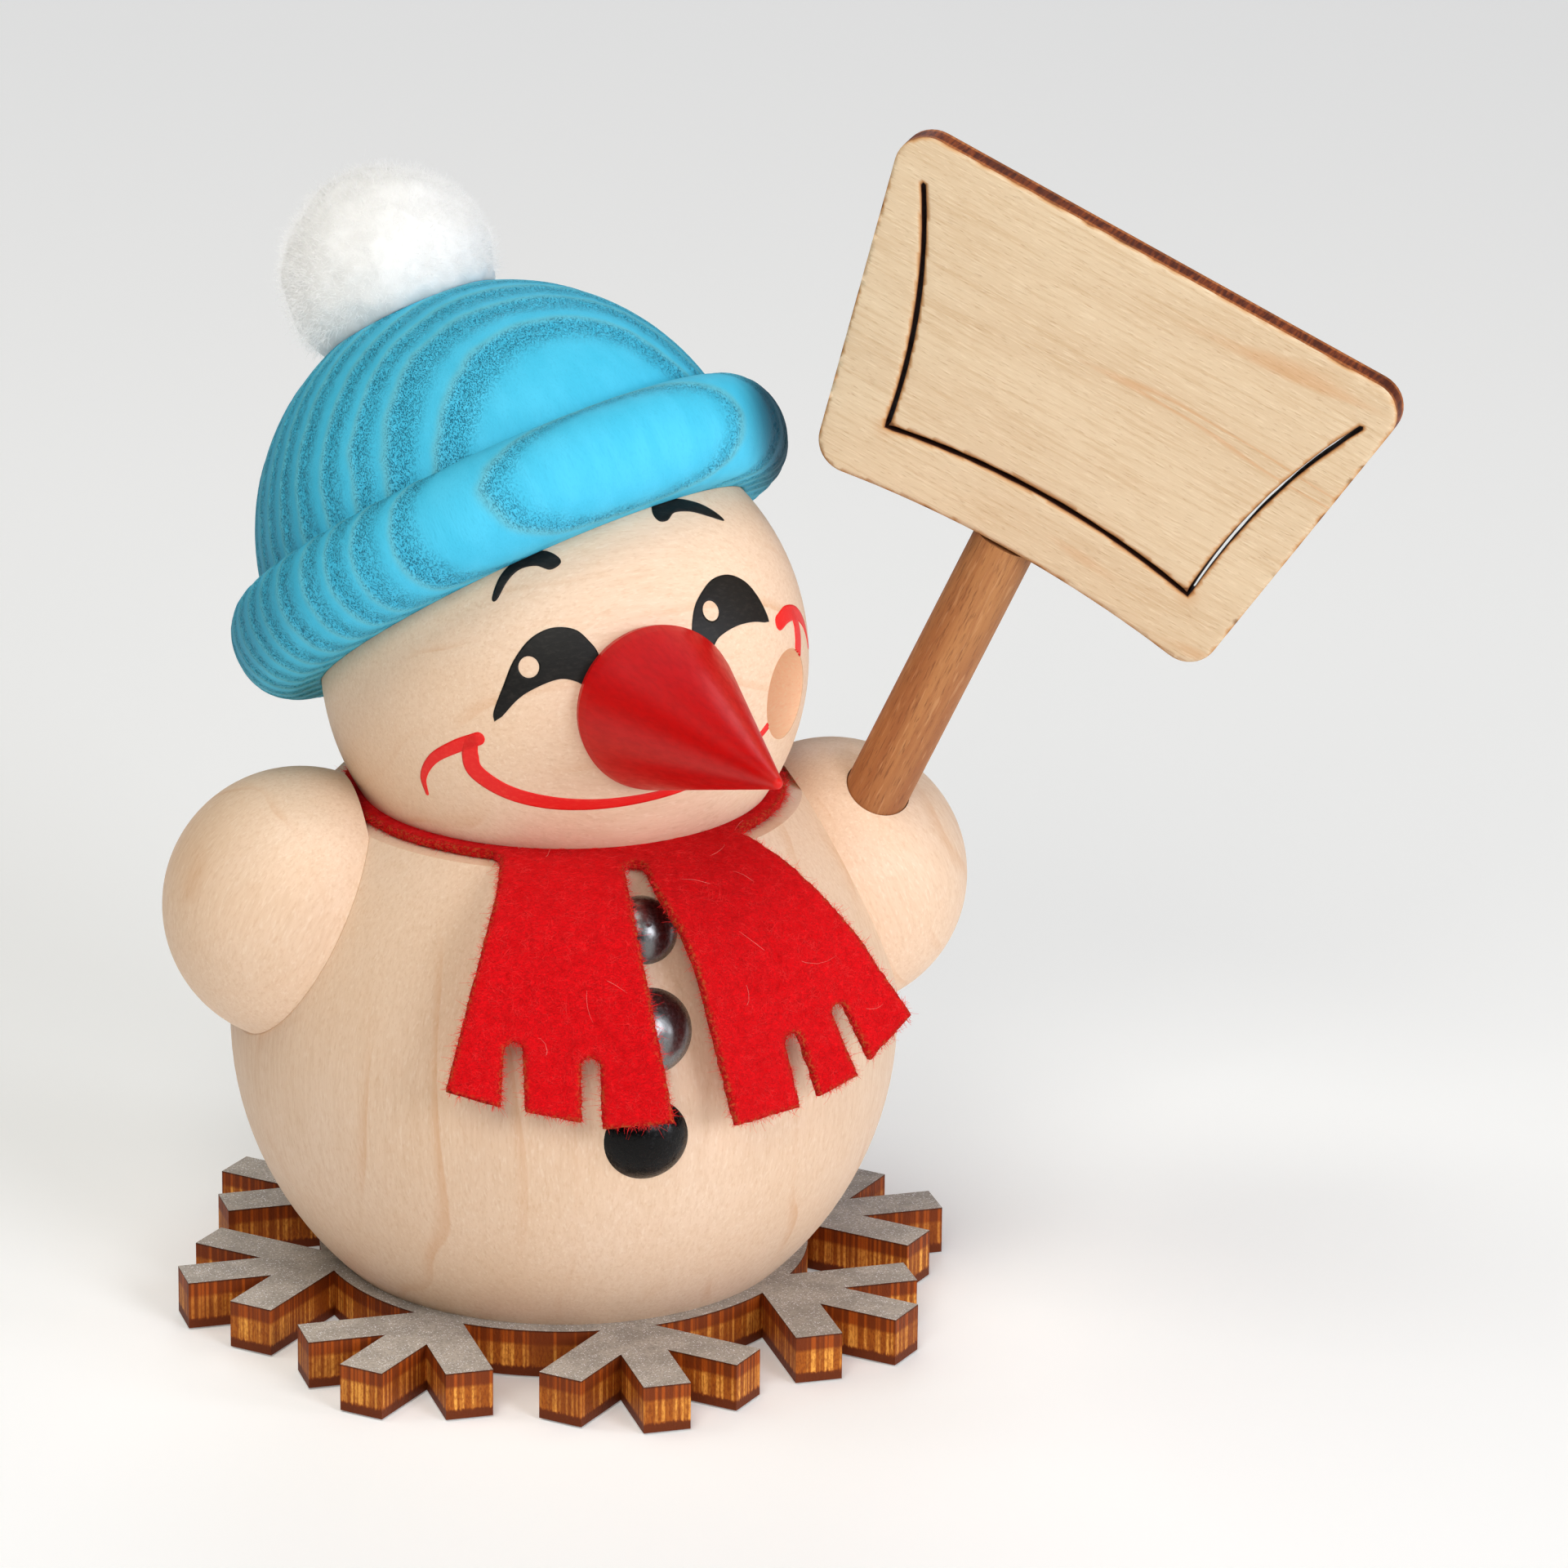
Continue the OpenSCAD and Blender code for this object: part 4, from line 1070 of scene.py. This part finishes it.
def make_face():
    black = print_ink("print_black", srgb(9, 7, 5), srgb(40, 36, 32), 0.5)
    red = print_ink("print_red", srgb(232, 26, 22), srgb(240, 60, 46), 0.45)
    # Each print's outline in degrees from the middle of the face, sideways and up
    brow = [(-32.7, 32.5), (-30.2, 37.1), (-26.1, 40.1), (-20.7, 42), (-15.3, 41.4), (-12.2, 39.3), (-12, 37.5),
            (-15.4, 36.6), (-19.1, 38.3), (-24, 38.2), (-27.9, 35.9), (-31.4, 31.9)]
    make_print("brow_right", [catmull(brow, 5, True)], black)
    brow = [(22.3, 41.6), (24.6, 43.8), (28.6, 44.2), (35.6, 41.9), (41.2, 38.3), (44.2, 34.3), (44.6, 31.6),
            (39.9, 34.8), (35.4, 37.8), (29.7, 39.6), (25.4, 38.7), (22.6, 39.4)]
    make_print("brow_left", [catmull(brow, 5, True)], black)
    lid = [(-36.2, 4.2), (-35.9, 6.6), (-32.5, 12.2), (-29.2, 17.3), (-24.8, 21.3), (-20.3, 23), (-16.2, 22.9),
           (-12.5, 21.3), (-10.3, 18.3), (-8.9, 15), (-9.4, 10.5), (-12.0, 6.4)]
    under = [(-13.4, 8.0), (-15.6, 10), (-19, 11.3), (-23.9, 10.7), (-29.2, 8.8), (-34.2, 5.1)]
    make_print("eye_right", [list(catmull(lid, 5)) + list(catmull(under, 5)), ring(-25.7, 15.4, 2.5)], black)
    lid = [(17.4, 4.6), (15.2, 8.0), (15.0, 12.1), (17.6, 16.8), (21.1, 19.6), (26.9, 21.7), (32.8, 20.9),
           (37.2, 17.6), (39.4, 13.1), (40.3, 8.1), (40.2, 6.2)]
    under = [(38.6, 6.6), (34, 8.4), (28.2, 9.5), (22.3, 9.1), (19.4, 7.2), (18.2, 5.0)]
    make_print("eye_left", [list(catmull(lid, 5)) + list(catmull(under, 5)), ring(22.5, 15.4, 2.4)], black)
    line = [(-42.6, 0.4), (-44.0, -3.2), (-43.6, -7.6), (-37.6, -13.5), (-28.5, -18.0), (-17.0, -21.2),
            (-4.0, -23.0), (8.0, -23.4), (20.0, -21.8), (31.0, -18.6), (40.0, -14.0)]
    make_print("mouth_line", [stroke(line, [3.0, 4.2, 4.3, 3.9, 3.6, 2.9, 2.4, 2.0, 1.8, 1.8, 2.4])], red)
    line = [(-41.0, 0.6), (-47.0, -0.8), (-54.0, -3.6), (-58.6, -8.2), (-59.6, -13.0)]
    make_print("mouth_corner_right", [stroke(line, [3.2, 3.2, 2.6, 1.8, 0.9])], red)
    line = [(44.6, 4.4), (50.0, 4.6), (56.5, 2.4), (61.5, -2.2), (64.6, -8.5)]
    make_print("mouth_corner_left", [stroke(line, [3.8, 4.0, 3.4, 2.6, 1.0])], red)
    line = [(53.5, 3.6), (54.0, -1.0), (50.5, -7.0), (44.0, -13.0)]
    make_print("mouth_end_left", [stroke(line, [2.6, 4.4, 4.2, 4.0])], red)


# ---------- materials of the CAD nodes ----------


def repaint(node, material):
    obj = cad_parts[node]
    obj.data.materials.clear()
    obj.data.materials.append(material)


def paint_nodes():
    repaint("snowflake_base", snowflake_paint())
    x, y, z = np.eye(3)
    repaint("body_ball", maple("maple_body", (x, y, z), BODY, (62.0, 30.0), 6.0, 1.0, tone=0.92))
    s, u, o = aim(FACE_TURN, NOSE_PITCH)
    repaint("head_ball", maple("maple_head", (u, o, s), HEAD, (-46.0, 20.0), 5.5, 2.0, hole=True))
    for side, seed in (("right", 3.0), ("left", 4.0)):
        s, u, o = aim(-90 if side == "right" else 90, ARM_RISE[side])
        arm, at = side + "_arm", arm_centre(side)
        repaint(arm, maple("maple_" + arm, (o, s, u), at, (14.0, 6.0), 3.6, seed, 0.8))
        repaint(arm + "_dowel", beech("beech_" + arm + "_dowel", (s, u, o), at, seed))
    repaint("burner_plug", maple("maple_burner", (x, z, y), (0, 0, 0), (24.0, 4.0), 4.0, 6.0))
    repaint("neck_tube", beech("beech_neck", (x, y, z), (0, 0, 0), 5.0))
    repaint("hat_dowel", beech("beech_hat_dowel", hat_axes(), HEAD, 9.0))
    repaint("shovel_handle", beech("beech_handle", shovel_axes(), arm_centre("left"), 2.0))
    repaint("nose", nose_paint())
    repaint("incense_dish", tinplate("tinplate_dish"))
    repaint("dish_nail", tinplate("tinplate_nail"))
    for i, node in enumerate(("button_top", "button_middle", "button_bottom")):
        repaint(node, button_paint("lacquer_" + node, 3.7 * i, (0.95, 0.95, 0.16)[i]))


# ---------- studio ----------


def make_studio():
    scene = bpy.context.scene
    world = bpy.data.worlds.new("studio")
    world.use_nodes = True
    sky = world.node_tree.nodes["Background"]
    sky.inputs[0].default_value = (1.0, 1.0, 1.0, 1)
    seen = world.node_tree.nodes.new("ShaderNodeLightPath").outputs["Is Camera Ray"]
    strength = world.node_tree.nodes.new("ShaderNodeMapRange")
    strength.inputs["To Min"].default_value = 0.03
    world.node_tree.links.new(seen, strength.inputs["Value"])
    world.node_tree.links.new(strength.outputs[0], sky.inputs[1])
    scene.world = world
    scene.view_settings.view_transform = "Standard"
    mesh = bpy.data.meshes.new("studio_floor")
    s = 3.0
    mesh.from_pydata([(-s, -s, 0), (s, -s, 0), (s, s, 0), (-s, s, 0)], [], [(0, 1, 2, 3)])
    floor = bpy.data.objects.new("studio_floor", mesh)
    floor.location.z = -0.0002
    scene.collection.objects.link(floor)
    p = Paint("floor_white")
    p.set(Base_Color=(0.92, 0.92, 0.92), Roughness=0.9, Specular_IOR_Level=0.1)
    p.set(Emission_Color=(1, 1, 1), Emission_Strength=0.12)
    mesh.materials.append(p.material)

    def area(name, at, size, power, tint, look=(0, 0, 0.06)):
        light = bpy.data.lights.new(name, "AREA")
        light.shape = "DISK"
        light.size = size
        light.energy = power
        light.color = tint
        obj = bpy.data.objects.new(name, light)
        obj.location = at
        obj.rotation_euler = (Vector(look) - Vector(at)).to_track_quat("-Z", "Y").to_euler()
        scene.collection.objects.link(obj)

    # Soft boxes: turn from the front towards the figure's left, rise, width, power and tint
    far, cool, warm = 1.25, (0.97, 1.0, 1.08), (1.02, 1.0, 0.93)
    for name, turn, rise, size, power, tint in (
        ("side", 56, 8, 0.35, 4.5, cool),
        ("key", 24, 22, 0.55, 6.4, cool),
        ("front", -28, 36, 0.60, 5.1, warm),
        ("top", -45, 77, 0.70, 5.6, warm),
        ("back", -110, 50, 0.50, 1.6, warm),
        ("rear", 165, 30, 0.60, 2.4, cool),
    ):
        at = far * aim(turn, rise)[2] + (0, 0, 0.06)
        area(name, at, size, power, tint)

    camera = bpy.data.cameras.new("camera")
    camera.sensor_width = 36.0
    camera.lens = 200.2
    camera.clip_start, camera.clip_end = 0.05, 10
    a, e, r = (math.radians(v) for v in (-16.38, 19.31, 0.60))
    back = Vector((math.sin(a) * math.cos(e), -math.cos(a) * math.cos(e), math.sin(e)))
    right = Vector((math.cos(a), math.sin(a), 0))
    up = back.cross(right)
    right, up = math.cos(r) * right + math.sin(r) * up, -math.sin(r) * right + math.cos(r) * up
    obj = bpy.data.objects.new("camera", camera)
    turn = Matrix((right, up, back)).transposed().to_4x4()
    obj.matrix_world = Matrix.Translation((-0.19449, -0.7334, 0.3155)) @ turn
    scene.collection.objects.link(obj)
    scene.camera = obj


make_studio()
paint_nodes()
make_hat()
make_pompom()
make_scarf()
make_blade()
make_face()
